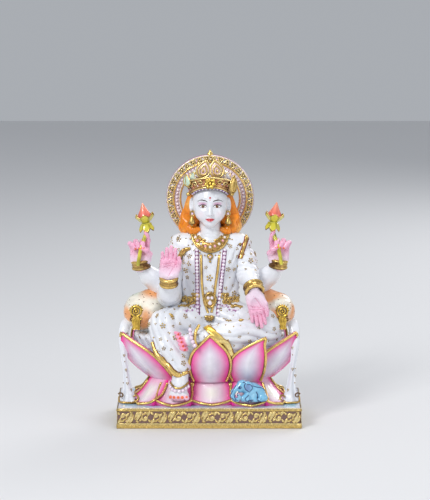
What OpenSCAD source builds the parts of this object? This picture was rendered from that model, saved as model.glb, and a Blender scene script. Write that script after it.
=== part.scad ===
// Seated four-armed deity statuette on a lotus throne, about 300 mm (12 inch) tall.
// Millimetres. +Z is up, the figure looks along -Y, and the origin is the centre of the underside.

/* [Plinth] */
// Width of the plinth
plinth_w = 203; // [200:1:206]
// Depth of the plinth
plinth_d = 110; // [106:1:114]
// Height of the plinth
plinth_h = 23; // [22:0.5:24]
// Height of the gilt moulding at the foot of the plinth
foot_band_h = 6; // [4:0.5:7]
// Height of the gilt fillet under the plinth's top
cap_band_h = 3.4; // [2.5:0.1:4]
// How far the gilt bands stand proud of the plinth block
band_proud = 1.2; // [0.8:0.1:1.8]

/* [Lotus] */
// Height of the crease between the drooping and the standing petals
crease_z = 46; // [44:1:47]
// Thickness of a standing petal
petal_t = 3.2; // [2.6:0.2:4]
// Height of the seat on top of the lotus
seat_z = 88; // [86:1:90]

/* [Figure] */
// Sideways place of the figure's midline
mid_x = 1; // [0:0.5:2]
// Height of the middle of the head
head_z = 242; // [241:0.5:243]
// Half the width of the face
head_r = 19.5; // [19:0.5:20]
// Height of the shoulders
shoulder_z = 200; // [199:0.5:201]

/* [Halo] */
// Outer radius of the halo ring
halo_r = 48; // [47:0.5:49]
// Radius of the opening in the halo ring
halo_hole_r = 31.5; // [31:0.5:32]
// Thickness of the halo ring
halo_t = 6; // [5:0.5:7]
// Height of the middle of the halo
halo_z = 243; // [242:0.5:244]
// Distance of the halo's front face behind the middle of the plinth
halo_y = 27; // [26.5:0.5:28]

/* [Dowels] */
// Radius of the steel dowels between the cast pieces
dowel_r = 2.5; // [2:0.5:3]

/* [Hidden] */

WHITE = [0.93, 0.93, 0.95];
GOLD = [0.78, 0.6, 0.22];
PINK = [0.95, 0.55, 0.75];
PALM = [0.96, 0.72, 0.82];
ORANGE = [0.93, 0.55, 0.15];
PEARL = [0.93, 0.85, 0.93];
BLUE = [0.5, 0.75, 0.88];

// ---------- shared shapes ----------

// A chain of balls [x, y, z, r] with a skin stretched between each two neighbours
module limb(balls, fn = 16) {
  for (i = [0 : len(balls) - 2]) hull() {
    ball(balls[i], fn);
    ball(balls[i + 1], fn);
  }
}

module ball(b, fn = 16) translate([b[0], b[1], b[2]]) sphere(r = b[3], $fn = fn);

// An egg shape: centre and the three half sizes
module egg(c, s, fn = 20) translate(c) scale(s) sphere(r = 1, $fn = fn);

// One closed skin over a grid of points, rows of equal length, front then back
module shell(front, back) {
  n = len(front);
  m = len(front[0]);
  points = concat([for (r = front) each r], [for (r = back) each r]);
  function f(i, j) = i * m + j;
  function b(i, j) = n * m + i * m + j;
  faces = concat(
    [for (i = [0 : n - 2], j = [0 : m - 2]) each [[f(i, j), f(i + 1, j), f(i + 1, j + 1)],
                                                [f(i, j), f(i + 1, j + 1), f(i, j + 1)]]],
    [for (i = [0 : n - 2], j = [0 : m - 2]) each [[b(i, j), b(i + 1, j + 1), b(i + 1, j)],
                                                [b(i, j), b(i, j + 1), b(i + 1, j + 1)]]],
    [for (j = [0 : m - 2]) each [[f(0, j), f(0, j + 1), b(0, j + 1)], [f(0, j), b(0, j + 1), b(0, j)],
                                 [f(n - 1, j + 1), f(n - 1, j), b(n - 1, j)],
                                 [f(n - 1, j + 1), b(n - 1, j), b(n - 1, j + 1)]]],
    [for (i = [0 : n - 2]) each [[f(i + 1, 0), f(i, 0), b(i, 0)], [f(i + 1, 0), b(i, 0), b(i + 1, 0)],
                                 [f(i, m - 1), f(i + 1, m - 1), b(i + 1, m - 1)],
                                 [f(i, m - 1), b(i + 1, m - 1), b(i, m - 1)]]]);
  polyhedron(points, faces);
}

function unit(v) = v / norm(v);

// Outline of a standing petal: share of its half width at the share t of its height
function petal_share(t) = (1 - t * t * t) * (0.86 + 0.5 * t - 0.45 * t * t) + 0.03;

// A standing petal from the middle of its root to its tip, bulging outwards along the heading
module petal(root, tip, width, heading, bulge = 7, cup = 5, rows = 8, cols = 8) {
  side = [cos(heading), sin(heading), 0];
  out = unit(cross(side, tip - root));
  function at(t, s, d) = root + t * (tip - root) + s * width / 2 * petal_share(t) * side
                         + (bulge * sin(180 * t) - cup * s * s + d) * out;
  front = [for (i = [0 : rows]) [for (j = [0 : cols]) at(i / rows, 2 * j / cols - 1, 0)]];
  back = [for (i = [0 : rows]) [for (j = [0 : cols]) at(i / rows, 2 * j / cols - 1, -petal_t)]];
  shell(front, back);
}

// Outline of a drooping petal: wide, with a shallow point
function droop_share(t) = 0.8 + 0.2 * sin(90 * min(1, t / 0.6));

// A drooping petal, solid down to the plinth: root and tip in plan, and the heading it points to
module droop(root, tip, width, heading, top = crease_z, point = 4, rows = 6, cols = 8) {
  side = [cos(heading), sin(heading)];
  ahead = unit(tip - root);
  floor_z = plinth_h;
  function plan(t, s) = root + t * (tip - root) + s * width / 2 * droop_share(t) * side
                        + point * t * (1 - abs(s)) * ahead - point * t * s * s * ahead * 0.6;
  function high(t, s) = floor_z + 1.6 + (top - floor_z - 1.6) * pow(1 - t, 1.5) * (1 - 0.1 * s * s);
  skin = [for (i = [0 : rows]) [for (j = [0 : cols]) let(t = i / rows, s = 2 * j / cols - 1)
          [plan(t, s)[0], plan(t, s)[1], high(t, s)]]];
  foot = [for (r = skin) [for (p = r) [p[0], p[1], floor_z]]];
  shell(skin, foot);
}

// A ring of round beads along a circle in the XZ plane
module bead_ring(r, bead_r, count, y) {
  for (i = [0 : count - 1]) translate([mid_x, y, halo_z]) rotate([0, 360 * i / count, 0])
    translate([r, 0, 0]) sphere(r = bead_r, $fn = 16);
}

// ---------- plinth ----------

inner_w = plinth_w - 2 * band_proud;
inner_d = plinth_d - 2 * band_proud;

seat_dowel_x = 34;
seat_dowel_y = 4;
seat_dowel_h = 30;

module slab(w, d, z0, z1) translate([-w / 2, -d / 2, z0]) cube([w, d, z1 - z0]);

module at_seat_dowels() for (x = [-1, 1]) translate([x * seat_dowel_x, seat_dowel_y,
    plinth_h - seat_dowel_h / 2])
  children();

module plinth_block() color([0.85, 0.9, 0.95]) difference() {
  slab(inner_w, inner_d, 0, plinth_h);
  at_seat_dowels() cylinder(r = dowel_r, h = seat_dowel_h, $fn = 32);
}

module band(z0, z1) difference() {
  slab(plinth_w, plinth_d, z0, z1);
  slab(inner_w, inner_d, z0 - 1, z1 + 1);
}

module plinth_foot_band() color(GOLD) band(0, foot_band_h);

module plinth_cap_band() color(GOLD) band(plinth_h - cap_band_h - 0.4, plinth_h - 0.4);

frieze_h = plinth_h - cap_band_h - 0.4 - foot_band_h;
frieze_relief = band_proud;
scroll_pitch = 16.6;

spiral_steps = 15;

function spiral(r0, r1, turns, side, width) =
  [for (i = [0 : spiral_steps]) let(q = i / spiral_steps, a = side * (turns * 360 * q - 60),
   r = r0 + (r1 - r0) * q + width) [r * cos(a), r * sin(a)]];

// One scroll of the running vine: a spiral tendril, a leaf and an eye
module scroll(side) {
  w = 1.9;
  outer = spiral(1.6, frieze_h / 2 - w - 0.1, 1.35, side, w);
  inner = spiral(1.6, frieze_h / 2 - w - 0.1, 1.35, side, 0);
  last = len(inner) - 1;
  polygon(concat(outer, [for (i = [last : -1 : 0]) inner[i]]));
  circle(r = 1.4, $fn = 16);
  polygon([[4.6, -side * 5.6], [8.4, -side * 2.2], [10.6, side * 3.4], [8.6, side * 5.6], [6.4,
      side * 0.6]]);
}

module scroll_row(count) {
  intersection() {
    union() for (i = [0 : count - 1])
      translate([(i - (count - 1) / 2) * scroll_pitch, 0]) scroll(i % 2 == 0 ? 1 : -1);
    square([count * scroll_pitch + 2, frieze_h - 0.2], center = true);
  }
}

module plinth_frieze() color(GOLD) {
  z = foot_band_h + frieze_h / 2;
  translate([0, -inner_d / 2, z]) rotate([90, 0, 0]) linear_extrude(frieze_relief) scroll_row(12);
  for (side = [-1, 1]) translate([side * inner_w / 2, 0, z]) rotate([90, 0, side * 90])
    linear_extrude(frieze_relief) scroll_row(6);
}

// ---------- lotus ----------

core_x = 34;
core_r = 25;

// Flaring seat of the lotus, from its root on the plinth to a radius at a height
module core(top_r, h) translate([0, 4, plinth_h]) hull() for (x = [-1, 1]) {
  translate([x * core_x, 0, 0]) cylinder(r = core_r, h = 1, $fn = 32);
  translate([x * (core_x + top_r - core_r), 0, h - 1]) cylinder(r = top_r, h = 1, $fn = 32);
}

module lotus_core() color(WHITE) difference() {
  core(core_r + 6, seat_z - plinth_h);
  at_seat_dowels() cylinder(r = dowel_r, h = seat_dowel_h, $fn = 32);
}

// Each standing petal: [root, tip, width, heading]
P_FRONT = [[1, -29, crease_z], [1, -47, 99], 50, 0];
P_FRONT_RIGHT = [[38, -26, crease_z], [62, -42, 98], 46, 22];
P_RIGHT = [[52, -12, crease_z], [96, -14, 102], 48, 58];
P_LEFT = [[-50, -12, crease_z], [-97, -14, 102], 52, -56];
P_REAR = [[[58, 16, crease_z], [88, 26, 98], 44, 118], [[30, 30, crease_z], [40, 46, 96], 42, 165],
          [[-2, 31, crease_z], [-2, 48, 98], 40, 180], [[-32, 30, crease_z], [-42, 46, 96], 42, 195],
          [[-58, 16, crease_z], [-88, 26, 98], 44, 242]];

// The lotus core with the steepness that the petals' roots are cut to
module lotus_root() core(core_r + 6, seat_z - plinth_h);

module standing(list, rows = 8, cols = 8) color(PINK) difference() {
  for (p = list) petal(p[0], p[1], p[2], p[3], rows = rows, cols = cols);
  lotus_root();
}

module lotus_petal_front() standing([P_FRONT]);
module lotus_petal_front_right() standing([P_FRONT_RIGHT]);
module lotus_petal_right() standing([P_RIGHT]);
module lotus_petal_left() standing([P_LEFT]);
module lotus_petals_rear() standing(P_REAR, 6, 6);

// Each drooping petal: [root, tip, width, heading]
D_FRONT = [[2.4, -26], [2.4, -37], 43, 0];
D_LEFT = [[-36, -24], [-38.8, -42], 36, -5];
D_RIGHT = [[41, -24], [44.8, -42], 38, 5];
D_SIDE = [[[-58, -16], [-72, -32], 26, -42], [[59, -16], [75, -32], 26, 42],
          [[-61, 2], [-84, 2], 24, -90], [[61, 2], [85, 2], 24, 90]];
D_REAR = [[[56, 20], [74, 36], 26, 138], [[30, 30], [36, 47], 32, 172], [[0, 31], [0, 48], 26, 180],
          [[-30, 30], [-36, 47], 32, 188], [[-56, 20], [-74, 36], 26, 222]];

module drooping(list) color(PINK) difference() {
  for (p = list) droop(p[0], p[1], p[2], p[3]);
  lotus_root();
}

module drooping_petal_front() drooping([D_FRONT]);
module drooping_petal_left() drooping([D_LEFT]);
module drooping_petal_right() drooping([D_RIGHT]);
module drooping_petals_side() drooping(D_SIDE);
module drooping_petals_rear() drooping(D_REAR);

// ---------- figure: legs and feet ----------

// Folded leg: hip, knee, and the shin that runs across the lap
FOLDED_LEG = [[24, 2, 112, 20], [61, -12, 108, 16], [22, -32, 101, 13], [-16, -37, 96, 9]];
// Hanging leg: hip, knee, calf and the cloth's lower end at the ankle
HANGING_LEG = [[-24, 0, 112, 20], [-49, -22, 109, 16], [-43, -31, 87, 14.5], [-33, -36, 66, 12]];
// Cloth that spreads over the seat's rim from one side to the other
LAP_CLOTH = [[-80, 0, 99, 9], [-44, -20, 92, 14], [0, -16, 96, 18], [44, -24, 94, 13], [82, 0, 99, 9]];

module legs() {
  limb(FOLDED_LEG);
  limb(HANGING_LEG);
}

module hips() hull() {
  egg([mid_x, 6, 106], [46, 26, 20]);
  egg([mid_x, 4, 124], [34, 19, 14]);
}

module lower_body() color(WHITE) difference() {
  union() {
    hips();
    legs();
    limb(LAP_CLOTH, 12);
  }
  lotus_space();
  upper_body_shape();
}

// What the legs rest on: the lotus core, and the petals that stand in front of it
module lotus_space() {
  core(core_r + 6, seat_z - plinth_h);
  for (p = [P_FRONT, P_FRONT_RIGHT, P_RIGHT, P_LEFT]) petal(p[0], p[1], p[2], p[3]);
}

FOLDED_FOOT = [[-24, -44, 97, 4.5], [-31, -46, 98, 4.2], [-33, -47, 92, 3.6]];
HANGING_FOOT = [[-31, -39, 50, 7.5], [-31, -44, 40, 7], [-31, -49, 33, 5]];

module foot(balls, toes, toe_r) {
  limb(balls, 14);
  for (t = toes) limb([[balls[2][0], balls[2][1], balls[2][2], toe_r], [t[0], t[1], t[2], toe_r]], 10);
}

module folded_foot() color(PALM) difference() {
  foot(FOLDED_FOOT, [for (i = [0 : 4]) [-36 + i * 1.6, -48, 99 - i * 4.2]], 1.9);
  legs();
}

module hanging_foot() color(WHITE) difference() {
  foot(HANGING_FOOT, [for (i = [0 : 4]) [-39 + i * 4, -51, 31]], 2.1);
  legs();
  droop(D_LEFT[0], D_LEFT[1], D_LEFT[2], D_LEFT[3]);
  lotus_root();
}

// Pearls in a half ring round the front of the ankle
module anklet() color(PEARL) for (i = [0 : 6]) translate(
    [HANGING_FOOT[1][0] + 9 * cos(180 + i * 30), HANGING_FOOT[1][1] + 2 + 9 * sin(180 + i * 30),
        42 - 3 * sin(i * 30)])
  sphere(r = 2, $fn = 16);

// ---------- figure: gilt hem and sash ----------

module strip(points, w) limb([for (p = points) [p[0], p[1], p[2], w]], 10);

module hem_band() color(GOLD) {
  strip([[-58, -33, 92], [-56, -40, 78], [-46, -46.5, 62], [-35, -49, 53.5], [-26, -48, 53.5], [-21,
      -44, 58]], 2);
}

module sash_end() color(GOLD) difference() {
  strip([[-2, -42, 117], [0, -46.5, 108], [10, -49, 96], [18, -48.5, 86]], 2.8);
  petal(P_FRONT[0], P_FRONT[1], P_FRONT[2], P_FRONT[3]);
  legs();
}

// ---------- figure: trunk, head and hair ----------

module upper_body_shape() {
  hull() {
    egg([mid_x, 7, 122], [32, 17, 10]);
    egg([mid_x, 6, 152], [31, 16, 24]);
    egg([mid_x, 6, 186], [33, 15, 14]);
  }
  hull() {
    egg([mid_x - 27, 8, shoulder_z - 7], [15, 12, 11]);
    egg([mid_x + 27, 8, shoulder_z - 7], [15, 12, 11]);
    egg([mid_x, 8, shoulder_z + 2], [17, 11, 8]);
  }
  for (s = [-1, 1]) egg([mid_x + s * 13, -5, 177], [12, 8.5, 12]);
}

module upper_body() color(WHITE) difference() {
  upper_body_shape();
  neck();
}

module neck() translate([mid_x, 4, shoulder_z - 6]) cylinder(r = 12, h = head_z - shoulder_z - 8, $fn = 32);

module head_shape() {
  egg([mid_x, 1, head_z + 2], [head_r, 21, 24], 24);
  hull() {
    egg([mid_x, -6, head_z - 8], [head_r - 3, 14, 13], 20);
    egg([mid_x, -9, head_z - 18], [8, 8, 7.5], 16);
  }
  egg([mid_x, -21.5, head_z - 7], [2.8, 3, 4.6], 12);
  for (s = [-1, 1]) egg([mid_x + s * 20, 2, head_z - 3], [3.2, 4.5, 8.5], 12);
}

module head() color(WHITE) union() {
  neck();
  head_shape();
}

module hair() color(ORANGE) difference() {
  union() {
    egg([mid_x, 7, head_z + 3], [24, 18, 25]);
    for (s = [-1, 1])
      limb([[mid_x + s * 19, 11, head_z + 6, 9], [mid_x + s * 25, 11, head_z - 24, 11]], 12);
    hull() for (s = [-1, 1]) {
      ball([mid_x + s * 14, 16, head_z - 22, 10], 12);
      ball([mid_x + s * 14, 22, 198, 6], 12);
    }
  }
  head_shape();
  neck();
  crown_space();
  upper_body_shape();
  behind_halo();
}

module earrings() color(GOLD) for (s = [-1, 1]) translate([mid_x + s * 19.5, -4.5, head_z - 18]) {
  rotate_extrude($fn = 24) polygon([[0, -5.5], [2.2, -4.6], [3.1, -2.2], [2.6, 0.4], [1, 2.6], [0, 3]]);
  translate([0, 0, 5]) sphere(r = 2, $fn = 20);
}

// ---------- crown ----------

// Everything behind the halo's front face, and a gap before the halo's opening
module behind_halo() {
  translate([-60, halo_y, 170]) cube([120, 30, 140]);
  translate([-60, halo_y - halo_gap, halo_z - halo_hole_r + 3]) cube([120, 30, 100]);
}
halo_gap = 1.6;

crown_z = head_z + 15;
crown_tilt = 8;

// The bowl of space that the crown takes over the top of the head
module crown_space() translate([mid_x, 2, crown_z]) rotate([-crown_tilt, 0, 0]) translate([0, 0, -1])
  cylinder(r1 = 27, r2 = 30, h = 40, $fn = 40);

module crown_band() color(GOLD) difference() {
  translate([mid_x, 2, crown_z]) rotate([-crown_tilt, 0, 0])
    cylinder(r1 = 24, r2 = 26.5, h = 11, $fn = 48);
  head_shape();
  behind_halo();
}

// Three pointed leaves and two side wings that stand on the crown's band
module crown_crest() color(GOLD) difference() {
  translate([mid_x, 2, crown_z]) rotate([-crown_tilt, 0, 0]) translate([0, 0, 11.2]) union() {
    hull() {
      cylinder(r = 23, h = 1, $fn = 40);
      translate([0, 4, 12]) scale([1, 0.8, 1]) cylinder(r = 15, h = 1, $fn = 32);
    }
    for (s = [-1, 1]) translate([s * 6.8, -15, 8]) scale([0.62, 0.36, 1]) sphere(r = 9.5, $fn = 20);
    for (s = [-1, 1]) translate([s * 21, -12, 3]) scale([0.5, 0.4, 1]) sphere(r = 7, $fn = 16);
  }
  behind_halo();
}

module crown_rosette() color(GOLD) translate([mid_x, -23.6, crown_z + 8.6]) rotate([90 - crown_tilt, 0,
    0]) {
  cylinder(r = 6.5, h = 2, $fn = 32);
  for (i = [0 : 6]) rotate([0, 0, i * 360 / 7]) translate([4.3, 0, 1]) cylinder(r = 1.7, h = 2.2, $fn = 20);
}

// ---------- arms ----------

RAISED_WRIST = [-44, -37, 160];
LOWERED_WRIST = [48.5, -29, 152];
REAR_WRIST_L = [-75.5, 5, 172];
REAR_WRIST_R = [76.5, 5, 173];

RAISED_ARM = [[-31, 8, 194, 12], [-41, 5, 170, 11.5], [-44, -1, 138, 12.5], [-44, -20, 145, 10.5],
    [-44, -34, 156, 7.5]];
LOWERED_ARM = [[33, 8, 194, 12], [42, 6, 176, 11.5], [45, -2, 160, 11.5], [48, -24, 155, 7.5]];
REAR_ARM_L = [[-30, 19, 182, 9], [-54, 17, 146, 11], [-66, 12, 158, 9.8], [-75, 6, 170, 7]];
REAR_ARM_R = [[32, 19, 182, 9], [55, 17, 147, 11], [67, 12, 159, 9.8], [76, 6, 171, 7]];

module arm(balls, skins) color(WHITE) difference() {
  limb(balls);
  upper_body_shape();
  hips();
  legs();
  for (b = skins) limb(b);
}

module raised_arm() arm(RAISED_ARM, []);
module lowered_arm() arm(LOWERED_ARM, []);
module rear_arm_left() arm(REAR_ARM_L, [RAISED_ARM]);
module rear_arm_right() arm(REAR_ARM_R, [LOWERED_ARM]);

// A bangle of two rolls with a waist, around the limb at a place, along a direction
module bangle(place, turn, r) color(GOLD) translate(place) rotate(turn) rotate_extrude($fn = 40)
  translate([r, 0]) polygon([[-1.6, -4], [0.6, -4], [1.8, -2.4], [0.7, 0], [1.8, 2.4], [0.6, 4], [-1.6,
      4]]);

module raised_bangle() bangle(RAISED_WRIST + [0, 1, -2], [22, 0, 0], 9);
module lowered_bangle() bangle(LOWERED_WRIST + [0.4, -1.5, 1.4], [52, 8, 0], 8.6);
module rear_bangle_left() bangle(REAR_WRIST_L + [0, 0.4, 0], [8, -8, 0], 9);
module rear_bangle_right() bangle(REAR_WRIST_R + [0, 0.4, 0], [8, 8, 0], 9);

// ---------- hands ----------

// Fingers are chains of balls; the palm is stretched over its own balls
module hand(palm, fingers, finger_r) color(PALM) {
  hull() for (b = palm) ball(b, 12);
  for (f = fingers) limb([for (p = f) [p[0], p[1], p[2], finger_r]], 8);
}

module raised_hand() translate(RAISED_WRIST) hand(
  [[-4, -1, 4, 5], [4, -1, 4, 5], [-7, -2, 20, 3.6], [6, -2, 20, 3.6]],
  [[[-8, -2, 20], [-8.6, -3, 31]], [[-3.6, -2, 20], [-4.2, -3, 37]], [[0.6, -2, 20], [0.6, -3, 40.4]],
   [[4.8, -2, 20], [5.6, -3, 38]], [[6, -2, 8], [9.4, -5, 18], [8.4, -6, 24]]], 2.4);

module lowered_hand() translate(LOWERED_WRIST) hand(
  [[-1, -5, -4, 4.5], [5, -4, -4, 4.5], [0, -8, -20, 3.6], [9, -8, -19, 3.6]],
  [[[1, -8, -20], [3.4, -8, -33]], [[4.6, -8, -20], [7.4, -8, -37]], [[8.4, -8, -20], [11.4, -8, -37]],
   [[11, -8, -19], [14.6, -8, -33]], [[7, -5, -6], [12.6, -8, -13], [13.4, -9, -24]]], 2.4);

// Curled hand that holds a lotus stem
module holding_hand(wrist, s) translate(wrist) hand(
  [[-4, -1, 5, 5], [4, -1, 5, 5], [-6.6, -1, 19, 3.8], [5.6, -1, 19, 3.8]],
  [[[s * -7, -1, 19], [s * -9, -5, 25], [s * -7, -9, 22]], [[s * -3, -1, 20], [s * -3.4, -5, 26],
      [s * -2.6, -9, 21]],
   [[s * 1, -1, 20], [s * 1.6, -5, 27], [s * 1.6, -9, 22]], [[s * 5, -1, 19], [s * 6, -3, 28],
       [s * 4.4, -5, 34]],
   [[s * 6, -2, 9], [s * 7, -7, 15], [s * 2.6, -9.4, 19]]], 2.3);

module rear_hand_left() holding_hand(REAR_WRIST_L, 1);
module rear_hand_right() holding_hand(REAR_WRIST_R, -1);

// A lotus bud with its sepals, and the stem that runs down through the hand
module bud(wrist, s) translate(wrist) {
  color([0.75, 0.7, 0.2]) limb([[s * -1, -8.5, 4, 2], [s * 0.6, -9.6, 16, 2]], 12);
  color([0.75, 0.7, 0.2]) limb([[s * 6.5, -3, 36, 2.4], [s * 7.4, 0, 46, 4.6], [s * 5.4, 0, 52, 6.6]], 14);
  color([0.95, 0.6, 0.55]) translate([s * 5, 0, 53]) rotate_extrude($fn = 28)
    polygon([[0, 0], [8.4, 0], [7.6, 3], [4.2, 9], [1.6, 15], [0, 17.4]]);
}

module bud_left() bud(REAR_WRIST_L, 1);
module bud_right() bud(REAR_WRIST_R, -1);

// ---------- jewellery ----------

// A collar of two rolls round the neck, sloping to the front, and its round pendant
module necklace() color(GOLD) {
  translate([mid_x, 2.5, 200]) rotate([24, 0, 0]) rotate_extrude($fn = 48) {
    translate([15, 0]) circle(r = 2.2, $fn = 20);
    translate([19, -1]) circle(r = 2.6, $fn = 20);
  }
  translate([mid_x, -16.4, 185]) sphere(r = 3.4, $fn = 24);
}

bead_count = 20;
bead_r = 1.75;

// Depth of the front of the trunk at a height, between the chest and the belt
function front_y(z) = z > 166 ? -12.5 - 3.4 * sin(180 * min(1, (192 - z) / 30)) : -12.6 - (166 - z) * 0.06;

module pearl_strands() color(PEARL) for (s = [-1, 1], i = [0 : bead_count - 1])
  let(z = 192 - i * 3.7) translate([mid_x + s * 13.2, front_y(z) - 0.4, z]) sphere(r = bead_r, $fn = 16);

module front_strips() color(GOLD) for (s = [-1, 1])
  strip([for (z = [188, 176, 164, 150, 136, 128]) [mid_x + s * (z > 130 ? 9.4 : 5), front_y(z) - 0.6,
      z]], 1.3);

// Beaded belt: a heavy upper row and a lighter lower row on each side of the medallion
module belt() color(GOLD) for (s = [-1, 1], i = [0 : 4]) {
  translate([mid_x + s * (12 + i * 4.4), -14.6 + i * i * 0.6, 132 + (i % 2)]) sphere(r = 2.1, $fn = 16);
  translate([mid_x + s * (12 + i * 4), -15.6 + i * i * 0.6, 126 + i * 0.4]) sphere(r = 1.8, $fn = 16);
}

module belt_medallion() color(GOLD) translate([mid_x, -14, 134]) rotate([90, 0, 0]) {
  scale([0.75, 1, 1]) cylinder(r = 8.6, h = 3, $fn = 40);
  translate([0, 0, 3]) sphere(r = 2.4, $fn = 24);
  translate([0, -13, 0]) cylinder(r = 5, h = 3, $fn = 32);
}

module armlets() color(GOLD) {
  strip([[-31, -7, 181], [-29, -9, 187], [-24, -9.5, 191.5], [-19, -10, 191]], 1.7);
  strip([[40, -6, 200], [36.5, -8, 191], [33.5, -9, 183]], 1.7);
}

// ---------- cushions, scarf and attendants ----------

module bolster(s) color([0.95, 0.82, 0.62]) difference() {
  hull() {
    egg([s * 73, 8, 119], [20.5, 22, 20.5]);
    egg([s * 62, 18, 124], [16, 18, 19]);
  }
  hips();
  legs();
  limb(LAP_CLOTH, 12);
  for (a = [RAISED_ARM, LOWERED_ARM, REAR_ARM_L, REAR_ARM_R]) limb(a);
  petal(P_LEFT[0], P_LEFT[1], P_LEFT[2], P_LEFT[3]);
  petal(P_RIGHT[0], P_RIGHT[1], P_RIGHT[2], P_RIGHT[3]);
}

module bolster_left() bolster(-1);
module bolster_right() bolster(1);

module bolster_tassels() color(GOLD) for (s = [-1, 1]) translate([s * 80, -12.5, 124]) {
  rotate([90, 0, s * 24]) rotate_extrude($fn = 32) translate([5, 0]) circle(r = 1.6, $fn = 16);
  rotate([90, 0, s * 24]) cylinder(r = 2.4, h = 2, $fn = 24);
  limb([[0, -1, -6, 2.6], [s * -0.5, -2, -19, 3.2]], 14);
}

// A hanging scarf end, from the cushion over the petal's tip down to the plinth
module scarf_tail(s) color(WHITE) difference() {
  union() {
    limb([[s * 92, -3, 108, 5], [s * 96, -11, 98, 3.5], [s * 96.5, -13, 84, 3.2], [s * 91.5, -17, 62,
        3]], 14);
    hull() {
      ball([s * 91.5, -17, 62, 3], 14);
      ball([s * 82, -30, 26.5, 3.4], 14);
      ball([s * 95.5, -24, 27, 3.6], 14);
      ball([s * 89, -32, 26.5, 3.4], 14);
    }
  }
  translate([-110, -60, 0]) cube([220, 120, plinth_h]);
  for (p = [P_LEFT, P_RIGHT]) petal(p[0], p[1], p[2], p[3]);
  for (p = D_SIDE) droop(p[0], p[1], p[2], p[3]);
}

module scarf_tail_left() scarf_tail(-1);
module scarf_tail_right() scarf_tail(1);

module elephant() color(BLUE) difference() {
  union() {
    limb([[53, -41, 36, 6.5], [45, -42, 37, 7.5], [36, -43, 40, 7.2]], 14);
    limb([[34, -45, 42, 6.4], [27.5, -47, 39, 3.4], [28, -48, 31, 2.4], [34, -49, 29, 2]], 12);
    limb([[56, -42, 33, 5.4], [58, -46, 27.5, 2.8]], 12);
    limb([[42, -45, 31, 4], [31, -48.5, 27.5, 2.8]], 12);
    egg([41, -45.5, 41, ], [5.4, 2.6, 6], 14);
  }
  translate([0, -60, 0]) cube([100, 60, plinth_h + 1.8]);
  droop(D_RIGHT[0], D_RIGHT[1], D_RIGHT[2], D_RIGHT[3]);
  lotus_root();
}

// ---------- halo ----------

module at_halo() translate([mid_x, halo_y, halo_z]) rotate([-90, 0, 0]) children();

halo_pin_x = 24;
halo_pin_z = 206;
halo_pin_l = 14;

module at_halo_pins() for (s = [-1, 1]) translate([mid_x + s * halo_pin_x, halo_y - 8, halo_pin_z])
  rotate([-90, 0, 0]) cylinder(r = dowel_r - 0.5, h = halo_pin_l, $fn = 32);

module halo_ring() color(GOLD) difference() {
  at_halo() difference() {
    cylinder(r = halo_r, h = halo_t, $fn = 96);
    translate([0, 0, -1]) cylinder(r = halo_hole_r, h = halo_t + 2, $fn = 96);
  }
  at_halo_pins();
}

stud_count = 36;

module halo_rim_studs() color(PEARL) for (i = [0 : stud_count - 1]) at_halo() rotate([0, 0,
    90 + (i + 0.5) * 360 / stud_count])
  translate([halo_r - 4.4, 0, -1.6]) linear_extrude(1.6) rotate([0, 0, i % 2 == 0 ? 0 : 180])
      circle(r = 3.4, $fn = 3);

module halo_pearls() color(PEARL) bead_ring(halo_hole_r + 4.6, 1.7, 56, halo_y - 0.6);

module halo_finial() color(GOLD) translate([mid_x, halo_y + halo_t / 2, halo_z + halo_r - 1])
    rotate_extrude($fn = 32)
  polygon([[0, 0], [5.2, 0], [5.4, 1.6], [3.4, 3], [2.2, 5], [0, 7.4]]);

// ---------- hidden dowels ----------

module seat_dowels() color("silver") at_seat_dowels() cylinder(r = dowel_r, h = seat_dowel_h, $fn = 32);

module halo_dowels() color("silver") at_halo_pins();

// ---------- the requested piece ----------

plinth_block();
plinth_foot_band();
plinth_cap_band();
plinth_frieze();
lotus_core();
lotus_petal_front();
lotus_petal_front_right();
lotus_petal_right();
lotus_petal_left();
lotus_petals_rear();
drooping_petal_front();
drooping_petal_left();
drooping_petal_right();
drooping_petals_side();
drooping_petals_rear();
lower_body();
folded_foot();
hanging_foot();
anklet();
hem_band();
sash_end();
upper_body();
head();
hair();
earrings();
crown_band();
crown_crest();
crown_rosette();
raised_arm();
raised_hand();
raised_bangle();
lowered_arm();
lowered_hand();
lowered_bangle();
rear_arm_left();
rear_hand_left();
rear_bangle_left();
bud_left();
rear_arm_right();
rear_hand_right();
rear_bangle_right();
bud_right();
necklace();
pearl_strands();
front_strips();
belt();
belt_medallion();
armlets();
bolster_left();
bolster_right();
bolster_tassels();
scarf_tail_left();
scarf_tail_right();
halo_ring();
halo_rim_studs();
halo_pearls();
halo_finial();
elephant();
seat_dowels();
halo_dowels();
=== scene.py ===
"""Looks of the seated deity statuette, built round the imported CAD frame.

Shapes are worked out in millimetres in the frame's own axes (+Z up, the figure looks along -Y) and become
metres when a piece is made. Carved forms are distance fields turned into meshes; trim is swept or scattered
over them.
"""
import math
from concurrent.futures import ThreadPoolExecutor

import bpy
import numpy as np
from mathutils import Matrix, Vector
from mathutils.bvhtree import BVHTree


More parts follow.
